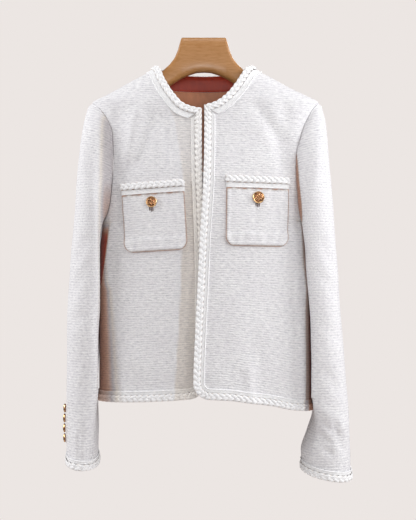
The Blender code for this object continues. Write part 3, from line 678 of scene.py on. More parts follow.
def body_shade(points, side):
    """Painted shade from 0 to 1 on the front, none past the side seam: products of soft steps that
    paint it dark in the gap beside the sleeve, brown near it, and beige as the lap's shadow."""
    x, y, z = np.moveaxis(points, -1, 0)
    on_front = ease((12.0 - y) / 10.0)
    if side > 0:
        past = x - np.interp(z, SHADE_LEFT["height"], SHADE_LEFT["strip"])
        # Left front: a painted brown strip of shade beside the sleeve, darker next to it.
        shade = 0.44 * ease((past + 1.0) / 2.0) + 0.5 * ease((past - 6.5) / 4.0)
        return shade * ease((-240.0 - z) / 20.0) * on_front
    dark, fade, lap = (
        np.interp(z, SHADE_RIGHT["height"], SHADE_RIGHT[name]) for name in ("dark", "fade", "lap")
    )
    # Right front: painted dark shade in the gap by the sleeve, brown beside it, and beige shadow under
    # the lap.
    gap = ease((dark + 2.0 - x) / 4.0) * ease((-296.0 - z) / 40.0)
    beside = 0.64 * (1 - ease((x + 171.0 - 0.2 * fade) / fade)) * ease((-300.0 - z) / 60.0)
    under = 0.06 + 0.1 * ease((-170.0 - z) / 120.0)
    under = ease((x - lap) / 3.0) * under * ease((-112.0 - z) / 14.0)
    return np.maximum(np.maximum(gap, beside), under) * on_front


for side, tag in SIDES:
    lapping = side > 0
    inner_x, outer_x = free_edge_x(heights, side), outer_edge_x(heights, side, "front")
    inner_x[-1] = outer_x[-1] * NECK_SLIVER
    grid = ring_grid(heights, inner_x, outer_x, -1, FRONT_COLUMNS)
    weave = weave_of(grid, inner_x * side)
    weave[..., 0] *= side
    # The weave's Z holds the painted shade of the front.
    weave[..., 2] = body_shade(grid, side)
    out = seam_dip((weave[:, -1:, 0] - weave[..., 0]) * side)
    if not lapping:
        # The strip under the lap lies a little back.
        lap = np.interp(grid[..., 2], SHADE_RIGHT["height"], SHADE_RIGHT["lap"])
        out = out - ease((grid[..., 0] - lap) / 5.0) * ease((-110.0 - grid[..., 2]) / 20.0)
    parts = [hung_wall(grid, out, CLOTH, weave, lapping)]
    piece = closed_mesh(parts, f"front_{tag}_tweed", white_tweed)
    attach(piece, "root")
    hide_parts(f"front_{tag}")


# ---------------------------------------------------------------- back
# One back of the same tweed, cut on the fold, joined to the fronts at the shoulders and sides. It
# hangs plain over the shoulder blades.

BACK_COLUMNS = 132
left_x, right_x = outer_edge_x(heights, 1, "back"), outer_edge_x(heights, -1, "back")
grid = ring_grid(heights, right_x, left_x, 1, BACK_COLUMNS)
weave = weave_of(grid, right_x)
out = seam_dip(weave[..., 0] - weave[:, :1, 0]) + seam_dip(weave[:, -1:, 0] - weave[..., 0])
piece = closed_mesh([hung_wall(grid, out, CLOTH, weave)], "back_tweed", white_tweed)
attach(piece, "root")
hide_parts("back")


# ---------------------------------------------------------------- lining and facing of the back neck
# A rust-red facing is sewn inside the back neck, and a brown satin lining hangs below it. The facing's
# deep red is partly painted shadow of the hanger. Both are smooth filament weaves, so they shine softly
# along their folds.

SATIN, LINING_GAP = 1.0, 2.5
NECK_SPAN, NECK_COLUMNS = 0.86, 70  # share of the back's width that they reach over


def satin_material(name, light, dark, roughness):
    """Filament satin: fine vertical threads 0.8 mm apart, and broad clouds of lighter and darker colour
    at random.
    """
    material, tree, shader = new_material(name, Roughness=roughness, Sheen_Weight=0.1)
    place = add_node(tree, "ShaderNodeAttribute", attribute_name="weave").outputs["Vector"]
    noises = []
    for length, height, detail in ((9.0, 26.0, 3.0), (0.8, 6.0, 2.0)):
        patches = (1 / length, 1 / height, 0.0)
        scaled = add_node(tree, "ShaderNodeMapping", {"Vector": place, "Scale": patches})
        noise = add_node(
            tree, "ShaderNodeTexNoise",
            {"Vector": scaled.outputs["Vector"], "Scale": 1.0, "Detail": detail},
        )
        noises.append(noise.outputs["Fac"])
    cloud, threads = noises
    colour = add_node(
        tree, "ShaderNodeMix", {"Factor": cloud, "A": linear(dark), "B": linear(light)}, data_type="RGBA"
    )
    tree.links.new(colour.outputs["Result"], shader.inputs["Base Color"])
    bump = add_node(tree, "ShaderNodeBump", {"Height": threads, "Strength": 0.3, "Distance": 0.2 * MM})
    tree.links.new(bump.outputs["Normal"], shader.inputs["Normal"])
    return material


# Filament satin and twill: even, softly shining, with broad clouds of lighter cloth.
brown_satin = satin_material("brown_lining_satin", "#DE8E58", "#B0663A", roughness=0.45)
# The facing's deeper rust-red is partly painted shadow of the hanger.
rust_twill_with_painted_shadow = satin_material("rust_facing_twill", "#B8360C", "#8E2204", roughness=0.5)
for name, low, high, rows, material, slot_name in (
    ("back_facing", -78.0, NECK_POINT, 16, rust_twill_with_painted_shadow, "rust_facing"),
    ("back_lining", -215.0, -78.3, 60, brown_satin, "brown_satin"),
):
    z = np.linspace(low, high, rows)
    limit = NECK_SPAN * half_width(1.0, z)
    part = ring_grid(z, -NECK_SPAN * half_width(-1.0, z), limit, 1, NECK_COLUMNS)
    weave = weave_of(part, -limit)
    gap = LINING_GAP + 0.6 * np.sin(weave[..., 0] / 13.0 + 0.5) * ease((-90.0 - part[..., 2]) / 60.0)
    if name == "back_facing":
        # Its lower edge is turned under, which leaves a bead.
        gap = gap + 0.7 * bell(part[..., 2], low, 2.0)
    piece = closed_mesh([hung_wall(part, -gap, SATIN, weave)], name + "_cloth", material)
    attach(piece, "root")
    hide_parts(name)


# ---------------------------------------------------------------- sleeves
# Long two-piece sleeves of the tweed, set in with a little ease, so the cap stands up in a soft roll
# beside the armhole seam. Each has a top sleeve and an under sleeve.

SLEEVE_COLUMNS, FRONT_SEAM, BACK_SEAM = 20, 8, 16
COLUMN_CELLS, COLUMN_GAP = 7, 0.003  # grid cells to a column, and half a seam's gap in columns
COLUMN_BUNCH = 0.25
SEAM_SWING = {-1: math.radians(62), 1: math.radians(36)}  # of the right and the left sleeve
CAP_RINGS = 3.0  # down to this ring the rows of the weave follow the cap

# Rings of each sleeve: outermost and innermost point, middle in Y, half depth, squareness (2 is an
# ellipse), how far the front of the ring drops and its back rises, and how far its front leans inwards.
SLEEVE = {
    -1: table("""
outer_x outer_z inner_x inner_z middle_y depth power drop lean
184.5      -109   167.0    -305        0    56   2.3    0    0
190.5      -117   172.0    -314        0    58   2.3    0    5
197.0      -137   173.0    -331        1    62   2.3    0    9
202.3      -172   173.3    -351        2    65   2.3    0 10.5
206.8      -225   173.3    -377        3  66.5   2.3    0 11.5
213.3      -300   172.8    -408        4    66   2.3    0 12.5
219.6      -370   172.8    -445        4    65   2.3    0 13.5
223.0      -430   173.8    -482        2    64   2.3    0 12.6
224.2      -485   175.0    -520        0    62   2.3    0   13
224.8      -540   175.8    -560       -2    59  2.25    1   15
225.3      -588   176.2    -600       -4  56.5   2.2    2 12.5
225.8      -635   173.8    -642       -6  54.5   2.1    3    7
225.0      -672   173.8    -677       -8    53  2.05    4    3
223.8      -694   175.2    -699       -9  52.5   2.0    4    0
"""),
    1: table("""
outer_x outer_z inner_x inner_z middle_y depth power drop lean
188.0      -109   168.5    -305        0    56   2.3    0    0
192.8      -117   173.5    -314        0    58   2.3    0   10
198.2      -137   174.5    -331        1    62   2.3    0   19
201.5      -172   174.8    -351        2    65   2.3    0   21
205.0      -225   174.8    -377        2  66.5   2.3    0   19
211.0      -300   175.3    -408        1    66   2.3    0   18
217.0      -370   176.0    -445        0    65   2.3    0   16
221.0      -430   176.5    -482       -3    63   2.3    0   14
225.0      -490   176.4    -524       -6    60   2.3    0 13.6
230.0      -553   176.6    -575       -9    56  2.25    1 14.5
234.0      -606   177.4    -612    -12.5    51   2.2    2   10
236.5      -646   168.0    -645    -14.5    46   2.1    3    3
238.3      -685   157.3    -677      -16    43  2.05    4    0
237.8      -721   159.0    -706      -17  41.5   2.0    4    0
"""),
}
LAST_RING = len(SLEEVE[1]["outer_x"]) - 1.0

# Soft creases of the sleeves as seen from the front and from the back, outwards from the middle.
SLEEVE_FRONT_FOLDS = {
    -1: table("""
x0    z0  x1   z1 width depth
188 -150 186 -250     8  -1.6
206 -215 208 -330     7   0.9
186 -330 204 -372     9  -1.5
184 -372 210 -420     9  -1.2
190 -450 214 -470     9  -1.0
186 -520 200 -560     8   0.9
215 -600 205 -680     7  -1.4
190 -610 196 -680     8   0.8
207 -640 205 -684     4   1.1
199 -640 200 -684     4  -1.0
"""),
    1: table("""
x0    z0  x1   z1 width depth
190 -150 188 -250     8  -1.5
205 -210 210 -330     7   0.8
186 -335 206 -380     9  -1.6
186 -390 214 -430     9  -1.3
192 -470 220 -500     9  -1.2
190 -540 214 -575     9  -1.4
184 -600 226 -640     9   1.8
206 -620 222 -672     7  -2.0
178 -640 200 -676     8  -1.6
184 -642 199 -658     4  -1.3
199 -658 214 -640     4  -1.2
188 -624 201 -638     4  -1.0
201 -638 212 -624     4  -1.0
190 -666 204 -676     5  -1.0
"""),
}
SLEEVE_BACK_FOLDS = {
    -1: table("""
x0    z0  x1   z1 width depth
190 -160 188 -260     9  -1.5
186 -380 212 -410     9  -1.6
188 -430 214 -455     9  -1.3
196 -600 210 -670     9  -1.0
"""),
    1: table("""
x0    z0  x1   z1 width depth
190 -165 188 -270     9  -1.5
188 -390 214 -420     9  -1.6
190 -440 218 -470     9  -1.4
186 -600 220 -640     9  -1.2
"""),
}


def armhole_loop(side):
    """Armhole seam from the shoulder tip down the front to the underarm and up the back."""
    span = UNDERARM - SHOULDER_TIP
    z = SHOULDER_TIP + span * np.sin(np.linspace(0.0, np.pi / 2, 60)) ** 1.2
    halves = []
    for face, turn in (("front", -1), ("back", 1)):
        x = outer_edge_x(z, side, face)
        share = np.clip(np.abs(x) / half_width(x, z), 0.0, 1.0) ** RING_POWER
        y = turn * depth(float(turn), z) * (1 - share) ** (1 / RING_POWER)
        halves.append(hang(np.stack([x, y, z], axis=1), 0.0))
    return np.concatenate([halves[0], halves[1][-2::-1]])


def round_ring(outer_x, outer_z, inner_x, inner_z, middle_y, deep, power, drop, lean, turn):
    """Rounded ring: outward = cos(turn)^(2/p), forward = sin(turn)^(2/p), less
    lean * sin^2 (1 - cos) in x."""
    outward = signed_power(np.cos(turn), 2 / power)
    forward = signed_power(np.sin(turn), 2 / power)
    inwards = lean * np.clip(np.sin(turn), 0.0, 1.0) ** 2 * (1 - np.cos(turn))
    x = (outer_x + inner_x) / 2 + (outer_x - inner_x) / 2 * outward - inwards
    z = (outer_z + inner_z) / 2 + (outer_z - inner_z) / 2 * outward - drop * forward
    return np.stack([x, middle_y - deep * forward, z], axis=-1)


def armhole_change(side):
    """Turns, and how far the armhole seam lies from the sleeve's first ring at each of them. The seam
    is taken 0.25 outwards and raised 0.4 at the underarm, clear of the body."""
    rings = SLEEVE[side]
    loop = armhole_loop(side)
    loop[:, 0] += side * 0.25
    loop[:, 2] += 0.4 * ease((-285.0 - loop[:, 2]) / 20.0)
    first_z = rings["outer_z"][0]
    along = np.clip(1 - 2 * (loop[:, 2] - first_z) / (rings["inner_z"][0] - first_z), -1.0, 1.0)
    half = len(loop) // 2
    turns = np.arccos(signed_power(along, rings["power"][0] / 2))
    turns[half + 1 :] = 2 * np.pi - turns[half + 1 :]
    turns[0], turns[half], turns[-1] = 0.0, np.pi, 2 * np.pi
    first = round_ring(*[column[0] for column in rings.values()], turns)
    first[:, 0] *= side
    return turns, loop - first


ARMHOLE_CHANGE = {side: armhole_change(side) for side in (-1, 1)}


def blend_rows(at, knots, rows):
    """Rows of three numbers, interpolated in straight lines between their knots."""
    return np.stack([np.interp(at, knots, rows[:, k]) for k in range(3)], axis=-1)


def sleeve_surface(side, turn, along):
    """Points of a sleeve at turns round it and distances along its rings, both arrays; the armhole's
    change of the first ring fades out over 3.2 rings."""
    rings = SLEEVE[side]
    knots = np.arange(LAST_RING + 1)
    points = round_ring(*[smooth(knots, column, along) for column in rings.values()], turn)
    points[..., 0] *= side
    moved = blend_rows(np.mod(turn, 2 * np.pi), *ARMHOLE_CHANGE[side])
    return points + moved * (1 - ease(along / 3.2))[..., None]


def sleeve_normal(side, turn, along, step=0.02):
    """Cross product of the surface's slopes round and along the sleeve."""
    across = sleeve_surface(side, turn + step, along) - sleeve_surface(side, turn - step, along)
    low, high = np.maximum(along - step, 0.0), np.minimum(along + step, LAST_RING)
    down = sleeve_surface(side, turn, high) - sleeve_surface(side, turn, low)
    return unit(np.cross(across, down)) * side


def sleeve_relief(side, turn, along, points):
    """Creases, unevenness, and the soft roll of the cap, 6.5 mm from its seam."""
    x, z = points[..., 0] * side, points[..., 2]
    facing = np.sin(turn)
    front = fold_height(SLEEVE_FRONT_FOLDS[side], x, z) * ease(facing / 0.6)
    back = fold_height(SLEEVE_BACK_FOLDS[side], x, z) * ease(-facing / 0.6)
    edge = ease(along / 1.5)
    wave = 0.7 * np.sin(z / 27.0 + 2.5 * turn + side) * np.sin(z / 61.0 - turn) * edge
    cap = 1.5 * bell(along * 9.0, 6.5, 4.5) * ease((0.4 + np.cos(turn)) / 0.7)
    return (front + back) * edge + wave + cap


def sleeve_points(side, turn, along, out):
    """Points `out` from a sleeve's surface along its normal, with its relief."""
    points = sleeve_surface(side, turn, along)
    lift = out + sleeve_relief(side, turn, along, points)
    return points + sleeve_normal(side, turn, along) * np.asarray(lift)[..., None]


def seam_turn(side, column, along):
    """Turn of a column: the back seam swings from the back of the arm towards its outside, and the
    columns are bunched, turn + 0.25 sin(2 turn), where the flattened sleeve bends most."""
    seams = [FRONT_SEAM, BACK_SEAM, SLEEVE_COLUMNS, SLEEVE_COLUMNS + FRONT_SEAM]
    share = np.interp(column, seams, [0.0, 1.0, 0.35, 0.0])
    swing = SEAM_SWING[side] * share * ease(along / LAST_RING)
    turn = 2 * np.pi * column / SLEEVE_COLUMNS + swing
    return turn + COLUMN_BUNCH * np.sin(2 * turn)


def sleeve_shade(points, side, turn):
    """Painted shade from 0 to 1: the side that faces the body darkens downwards from the armhole seam,
    and the front is painted darker beside the seam.
    """
    x, z = points[..., 0] * side, points[..., 2]
    facing = np.mod(turn, 2 * np.pi)
    inner = ease((facing - math.radians(140)) / math.radians(25))
    inner = inner * ease((math.radians(250) - facing) / 0.5)
    # Painted rust-red shade where the sleeve faces the body, from the underarm down.
    deep = 0.85 * ease((-285.0 - z) / 40.0) * ease((z + 600.0) / 30.0)
    deep = inner * deep * ease((10.0 - points[..., 1]) / 20.0)
    front = (facing < np.pi) * (facing > 0.5)
    if side > 0:
        # Left sleeve: a painted brown strip of shade beside the armhole seam, on its front.
        strip = np.interp(-z, (165.0, 208.0, 243.0, 278.0, 300.0), (147.0, 151.1, 152.2, 155.7, 157.0))
        strip = 0.6 * ease((strip - x) / 1.6) * ease((-160.0 - z) / 30.0) * ease((z + 330.0) / 30.0)
        return np.maximum(strip * front, deep)
    # Right sleeve: painted shade beside its front crease, grey above and brown lower down.
    fold = 0.29 * ease((-118.0 - z) / 30.0) + 0.14 * ease((-225.0 - z) / 65.0)
    return np.maximum(ease((171.5 - x) / 13.0) * front * fold, deep)


# The sleeves' tweed is the same, lightly crimped, so its rows stand 4.2 mm apart and waver.
crimped_tweed = tweed("crimped_wool_tweed", pitch=4.2, wander=3.0, slub_length=7.0, relief=1.0)

cap_rings = np.linspace(0.0, 1.0, 9) ** 1.3 * 1.5
rings = np.concatenate([cap_rings, np.linspace(1.5, LAST_RING, 186)[1:]])
level_row = int(np.argmax(rings >= CAP_RINGS))
for side, tag in SIDES:
    for name, first, end in (
        (f"sleeve_top_{tag}", BACK_SEAM, SLEEVE_COLUMNS + FRONT_SEAM),
        (f"sleeve_under_{tag}", FRONT_SEAM, BACK_SEAM),
    ):
        column = np.linspace(first + COLUMN_GAP, end - COLUMN_GAP, COLUMN_CELLS * (end - first) + 1)
        turn = seam_turn(side, column, rings[:, None])
        along = np.broadcast_to(rings[:, None], turn.shape)
        plain = sleeve_surface(side, turn, along)
        weave = weave_of(plain)
        down = np.zeros(turn.shape)
        down[1:] = np.linalg.norm(np.diff(plain, axis=0), axis=-1).cumsum(axis=0)
        weave[:level_row, :, 1] = plain[level_row, :, 2] + down[level_row] - down[:level_row]
        # The weave's Z holds the painted shade of the sleeve.
        weave[..., 2] = sleeve_shade(plain, side, turn)
        to_back_seam = weave[..., 0]
        if name.startswith("sleeve_under"):
            to_back_seam = weave[:, -1:, 0] - weave[..., 0]
        dip = seam_dip(down) * ease((-125.0 - plain[..., 2]) / 25.0) + seam_dip(to_back_seam)
        outer, inner = (sleeve_points(side, turn, along, out) for out in (dip, dip - CLOTH))
        piece = closed_mesh([wall(outer, inner, weave)], name + "_tweed", crimped_tweed)
        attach(piece, "root")
        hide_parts(name)


# ---------------------------------------------------------------- plaited trim
# Cotton braid round the neck, fronts, hem and cuffs: three thick strands plaited flat along the edge,
# then a ribbed band, then a line of white piping that covers the sewing.

TRIM_WIDTH, EDGE_TRIM_WIDTH, CUFF_TRIM_WIDTH = 21.0, 17.4, 17.0
BRAID_WIDTH, BRAID_TURN = 11.6, 27.6  # a strand comes round once in a turn, so lobes lie 9.2 apart
STRAND_HALF, STRAND_THICK = 2.6, 1.45
BRAID_SWING, BRAID_LIFT, BRAID_SEAT = 3.2, 1.2, 2.5
BAND_HEIGHT, BAND_EDGE, RIB_PITCH, RIB_HEIGHT, PIPING = 1.3, 0.35, 1.7, 0.22, 1.0
STRAND_SAMPLES, STRAND_ROUND, STATION_STEP = 24, 10, 3.0
BAND_START, BAND_END, PIPING_IN = 0.4, 1.5, 0.9  # inside the braid, and inside the trim's inner edge
MITRE_LENGTH, TUCK_DEPTH = 45.0, 2.6
HEM_GAP = 0.3  # between the front's and the back's trim at the side seam
CUFF_PRESS, CUFF_RISE = 0.65, 0.5  # the cuffs' trim is sewn down flatter than the rest


def tube_faces(stations, around, looped):
    """Quads round a tube, and flat caps where it isn't a loop."""
    index = np.arange(stations * around).reshape(stations, around)
    if looped:
        index = np.concatenate([index, index[:1]])
    side = np.roll(index, -1, axis=1)
    quads = np.stack([index[:-1], side[:-1], side[1:], index[1:]], axis=-1).reshape(-1, 4)
    return [quads] if looped else [quads, index[:1, ::-1], index[-1:]]


def turns_round(count):
    """Even turns round a circle, from 0."""
    return np.linspace(0, 2 * np.pi, count, endpoint=False)


def strand(total, phase, looped):
    """Tube of one strand: across = w/2 + A sin f, out = seat - B sin 2f, with
    f = 2 pi along / turn + phase, and its painted shade deepest where it dives under the others."""
    turns = max(round(total / BRAID_TURN), 1) if looped else total / BRAID_TURN
    count = round(turns * STRAND_SAMPLES)
    along = np.linspace(0.0, total, count, endpoint=not looped)
    angle = 2 * np.pi * along * turns / total + phase
    speed = 2 * np.pi * turns / total
    across, out = BRAID_SWING * np.sin(angle), BRAID_LIFT * np.sin(2 * angle)
    centre = np.stack([along, BRAID_WIDTH / 2 + across, BRAID_SEAT - out], axis=1)
    sway, dive = BRAID_SWING * speed * np.cos(angle), -2 * BRAID_LIFT * speed * np.cos(2 * angle)
    heading = unit(np.stack([np.ones(count), sway, dive], axis=1))
    beside = unit(np.cross(heading, (0.0, 0.0, 1.0)))
    over = np.cross(beside, heading)
    turn = turns_round(STRAND_ROUND)
    ring = centre[:, None] + beside[:, None] * (STRAND_HALF * np.cos(turn))[:, None]
    ring = ring + over[:, None] * (STRAND_THICK * np.sin(turn))[:, None]
    low = 0.34 * ease((BRAID_SEAT + 1.0 - ring[..., 2]) / 2.0)
    weave = np.stack(np.broadcast_arrays(turn * STRAND_HALF, along[:, None], low), axis=-1)
    return ring, tube_faces(count, STRAND_ROUND, looped), weave


def carried(total, across, out, shade, looped):
    """A closed profile of (across, out) carried along the trim, with a station every 3 mm."""
    stations = round(total / STATION_STEP)
    grid = np.empty((stations, len(across), 3))
    grid[..., 0] = np.linspace(0.0, total, stations, endpoint=not looped)[:, None]
    grid[..., 1], grid[..., 2] = across, out
    weave = grid[..., [1, 0, 2]]
    weave[..., 2] = shade
    return grid, tube_faces(stations, len(across), looped), weave


def band(total, first, last, looped):
    """Flat ribbed strip: out = height + 0.22 cos(2 pi ribs), with painted shade in the low grooves
    beside it.
    """
    ribs = max(round((last - first) / RIB_PITCH), 2)
    share = np.linspace(0.0, 1.0, 4 * ribs + 1)
    top = BAND_HEIGHT + RIB_HEIGHT * np.cos(2 * np.pi * ribs * share)
    top[0], top[-1] = BAND_EDGE, BAND_EDGE
    across = first + (last - first) * np.concatenate([share, (0.8, 0.5, 0.2)])
    out = np.concatenate([top, np.full(3, 0.3)])
    return carried(total, across, out, 0.4 * ease((1.0 - out) / 0.5), looped)


def piping(total, across, looped):
    """Round cord along the trim's inner edge."""
    turn = turns_round(8)
    return carried(total, across + PIPING * np.cos(turn), 1.0 + PIPING * np.sin(turn), 0.0, looped)


# Mercerised cotton braid in optical white: soft, with fine twisted yarns 0.9 mm apart on each strand.
white_braid, tree, shader = new_material(
    "white_cotton_braid", Roughness=0.8, Sheen_Weight=0.2, Sheen_Roughness=0.5, Specular_IOR_Level=0.25
)
place = add_node(tree, "ShaderNodeAttribute", attribute_name="weave").outputs["Vector"]
scaled = add_node(tree, "ShaderNodeMapping", {"Vector": place, "Scale": (1 / 0.9, 1 / 5.0, 0.0)})
threads = add_node(
    tree, "ShaderNodeTexNoise", {"Vector": scaled.outputs["Vector"], "Scale": 1.0, "Detail": 1.0}
).outputs["Fac"]
whites = ((0.3, "#E4E6E9"), (0.62, "#FDFDFD"))
ramp = add_node(tree, "ShaderNodeValToRGB", {"Fac": threads}, stops=whites)
deep = add_node(tree, "ShaderNodeSeparateXYZ", {"Vector": place}).outputs["Z"]
# Painted shade: the weave's Z darkens the braid where strands dive under and in the band's grooves.
tree.links.new(shaded(tree, ramp.outputs["Color"], deep), shader.inputs["Base Color"])
bump = add_node(tree, "ShaderNodeBump", {"Height": threads, "Strength": 0.4, "Distance": 0.4 * MM})
tree.links.new(bump.outputs["Normal"], shader.inputs["Normal"])


def make_trim(name, total, width, place_on, ends=(0.0, 0.0), looped=False, tuck=0.0, shade=None):
    """Strands, band and piping in strip coordinates (along, across, out), then placed on the cloth.

    `ends` shear the trim's ends as at a mitre; `tuck` is the length over which its ends dive under;
    `shade` gives the depth of painted shade at points.
    """
    pieces = [strand(total, phase, looped) for phase in (0.0, 2 * np.pi / 3, 4 * np.pi / 3)]
    pieces.append(band(total, BRAID_WIDTH - BAND_START, width - BAND_END, looped))
    pieces.append(piping(total, width - PIPING_IN, looped))
    parts = []
    for grid, faces, weave in pieces:
        along, across, out = np.moveaxis(grid.reshape(-1, 3), -1, 0)
        shift = ends[0] * across * (1 - ease(along / MITRE_LENGTH))
        shift = shift - ends[1] * across * ease((along - total + MITRE_LENGTH) / MITRE_LENGTH)
        if tuck:
            out = out - TUCK_DEPTH * (1 - ease(along / tuck) + ease((along - total + tuck) / tuck))
        placed = place_on(along + shift, across, out)
        if shade:
            weave = weave.reshape(-1, 3).copy()
            weave[:, 2] = np.maximum(weave[:, 2], shade(placed))
        parts.append((placed, faces, weave))
    piece = closed_mesh(parts, name, white_braid, bend=70.0)
    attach(piece, "root")
    return piece


def settle(points):
    """The points moved onto the body's surface along its slope, by Newton's steps."""
    for _ in range(6):
        slope = gradient(points)
        points = points - level(points)[..., None] * slope / (slope**2).sum(-1, keepdims=True)
    return points


def edge_placer(path, inward, lapping=False):
    """Places strip coordinates along an edge of the body: `path` is fine points on the plain surface."""
    reach = reach_of(path)
    across_way = unit(np.cross(unit(gradient(path)), unit(np.gradient(path, axis=0)))) * inward

    def place_on(along, across, out):
        """The path at `along`, `across` inwards on the surface, then `out` with its folds."""
        at = np.clip(along, 0.0, reach[-1])
        way = unit(blend_rows(at, reach, across_way))
        return hang(settle(blend_rows(at, reach, path) + way * across[:, None]), out, lapping)

    return place_on


def resample(path, count):
    """The path as `count` evenly spaced points."""
    reach = reach_of(path)
    return blend_rows(np.linspace(0.0, reach[-1], count), reach, path)


def ring_part(z, first_x, last_x, side, count):
    """Points of the plain ring at one height, from one x to another."""
    return ring_grid(np.array([z]), np.atleast_1d(first_x), np.atleast_1d(last_x), side, count)[0]


def front_y(x, z):
    """Y of the plain front: -depth * (1 - |x / half width|^p)^(1/p)."""
    share = np.clip(np.abs(x / half_width(x, z)), 0.0, 1.0) ** RING_POWER
    return -depth(-1.0, z) * (1 - share) ** (1 / RING_POWER)


def neck_path():
    """Neck edge from the right front over the back to the left front."""
    halves = []
    for side, _ in SIDES:
        x, z = edge_curve(NECK[side])
        halves.append(np.stack([side * x, front_y(side * x, z), z], axis=1))
    back = ring_part(NECK_POINT, -NECK_HALF, NECK[1]["out"][0], 1, 200)
    return resample(np.concatenate([halves[0][:0:-1], back, halves[1][1:]]), 500)


def front_edge_path(side):
    """From the neck corner down the opening, round the lower corner and along the hem."""
    z = np.linspace(NECK[side]["height"][-1], HEM + CORNER_RADIUS, 200)
    x = curve(EDGE[side], "x", z)
    turn = np.linspace(0, np.pi / 2, 30)[1:]
    x = np.concatenate([x, x[-1] + side * CORNER_RADIUS * (1 - np.cos(turn))])
    z = np.concatenate([z, HEM + CORNER_RADIUS * (1 - np.sin(turn))])
    front = np.stack([x, front_y(x, z), z], axis=1)
    hem = ring_part(HEM, x[-1], side * half_width(float(side), HEM), -1, 200)
    return resample(np.concatenate([front, hem[1:]]), 600)


def mitre(first, second):
    """Tangent of half the turn between two edge directions."""
    turn = math.acos(float(np.clip(np.dot(unit(first), unit(second)), -1, 1)))
    return math.tan(turn / 2)


neck = neck_path()
edges = {side: front_edge_path(side) for side in (-1, 1)}
mitres = {
    -1: mitre(neck[0] - neck[8], edges[-1][8] - edges[-1][0]),
    1: mitre(neck[-1] - neck[-9], edges[1][8] - edges[1][0]),
}
total = reach_of(neck)[-1]
piece = make_trim("trim_neck_braid", total, TRIM_WIDTH, edge_placer(neck, 1), (mitres[-1], mitres[1]))
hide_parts("trim_neck")
for side, tag in SIDES:
    piece = make_trim(
        f"trim_edge_{tag}_braid", reach_of(edges[side])[-1] - HEM_GAP, EDGE_TRIM_WIDTH,
        edge_placer(edges[side], side, side > 0), (mitres[side] * TRIM_WIDTH / EDGE_TRIM_WIDTH, 0.0),
        # Painted shade of the front under it, at 0.7 of its depth.
        shade=lambda points, side=side: 0.7 * body_shade(points, side),
    )
    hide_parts(f"trim_edge_{tag}")
hem = ring_part(HEM, -half_width(-1.0, HEM), half_width(1.0, HEM), 1, 400)
total = reach_of(hem)[-1] - HEM_GAP
piece = make_trim("trim_hem_back_braid", total, EDGE_TRIM_WIDTH, edge_placer(hem, -1))
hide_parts("trim_hem_back")

fine = np.linspace(0.0, 2 * np.pi, 500)
for side, tag in SIDES:
    edge, above = (sleeve_surface(side, fine, np.full_like(fine, LAST_RING - up)) for up in (0, 1))
    reach, step = reach_of(edge), np.linalg.norm(edge - above, axis=1)

    def place_on(along, across, out, side=side, reach=reach, step=step):
        """Turn from `along`, and rings up from the cuff as across / the last ring's length."""
        ring = LAST_RING - across / np.interp(along, reach, step)
        turn = np.interp(along, reach, fine)
        return sleeve_points(side, turn, ring, CUFF_PRESS * out + CUFF_RISE)

    piece = make_trim(f"trim_cuff_{tag}_braid", reach[-1], CUFF_TRIM_WIDTH, place_on, looped=True)
    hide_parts(f"trim_cuff_{tag}")


# ---------------------------------------------------------------- patch pockets
# A patch of the tweed on each chest, its edges turned under and sewn down, with rounded lower corners
# and the plaited trim across its mouth. A worked buttonhole and a bar tack lie under the button.

POCKET_WIDTH, POCKET_HEIGHT, POCKET_RADIUS = 100.0, 110.0, 15.0
POCKET_SEAT, POCKET_CLOTH, POCKET_TRIM_WIDTH = 0.6, 1.8, 19.0
POCKET_TRIM_OVER, POCKET_TUCK = 1.0, 3.0  # the trim's overhang at each end, and where it dives under
POCKET_COLUMNS = 49
POCKETS = {
    tag: {"side": side, "x": x, "top": top, "tilt": tilt, "button": button, "radius": radius}
    for tag, side, x, top, tilt, button, radius in (
        ("right", -1, -82.6, -242.4, 3.4, (-83.0, -274.0), 8.8),
        ("left", 1, 84.8, -234.3, -0.8, (84.6, -267.2), 9.6),
    )
}


def on_front(x, z, out, lapping):
    """Points `out` from the front's cloth, at places in X and Z."""
    return hang(np.stack([x, front_y(x, z), z], axis=-1), out, lapping)


def pocket_place(pocket, u, v):
    """X and Z of a point u across and v below the middle of the pocket's top edge."""
    tilt = math.radians(pocket["tilt"])
    x = pocket["x"] + u * math.cos(tilt) + v * math.sin(tilt)
    z = pocket["top"] + u * math.sin(tilt) - v * math.cos(tilt)
    return x, z


def pocket_lift(u, down, to_edge):
    """Cloth of a pocket above its seat, as a sum of bell curves and soft steps: rolled edge, puckers
    below the trim, slack bag, crease and puffed hem."""
    roll = 0.9 * bell(to_edge, 3.6, 2.6) - bell(to_edge, 0.0, 1.5)
    pucker = 0.7 * np.cos(u / 2.6 + 0.6 * np.sin(u / 7.0)) * bell(down, 22.0, 11.0)
    pucker = pucker * (0.3 + 0.7 * bell(u, 0.0, 18.0))
    bag = 1.2 * np.clip(1 - (2 * u / POCKET_WIDTH) ** 2, 0, 1)
    bag = bag * np.clip(1 - ((down - 62.0) / 50.0) ** 2, 0, 1)
    crease = 0.5 * bell(u + 0.2 * down, 9.0, 5.0)
    crease = crease * ease((down - 20.0) / 20.0) * ease((90.0 - down) / 30.0)
    puff = 1.4 + 0.8 * np.sin(u / 4.3 + 0.8) * np.sin(u / 10.0 + 0.4)
    hem = puff * ease((down - 87.0 - np.sin(u / 9.0)) / 5.0) * ease((POCKET_HEIGHT - down) / 5.0)
    return POCKET_SEAT + POCKET_CLOTH + roll + pucker + bag + hem - crease


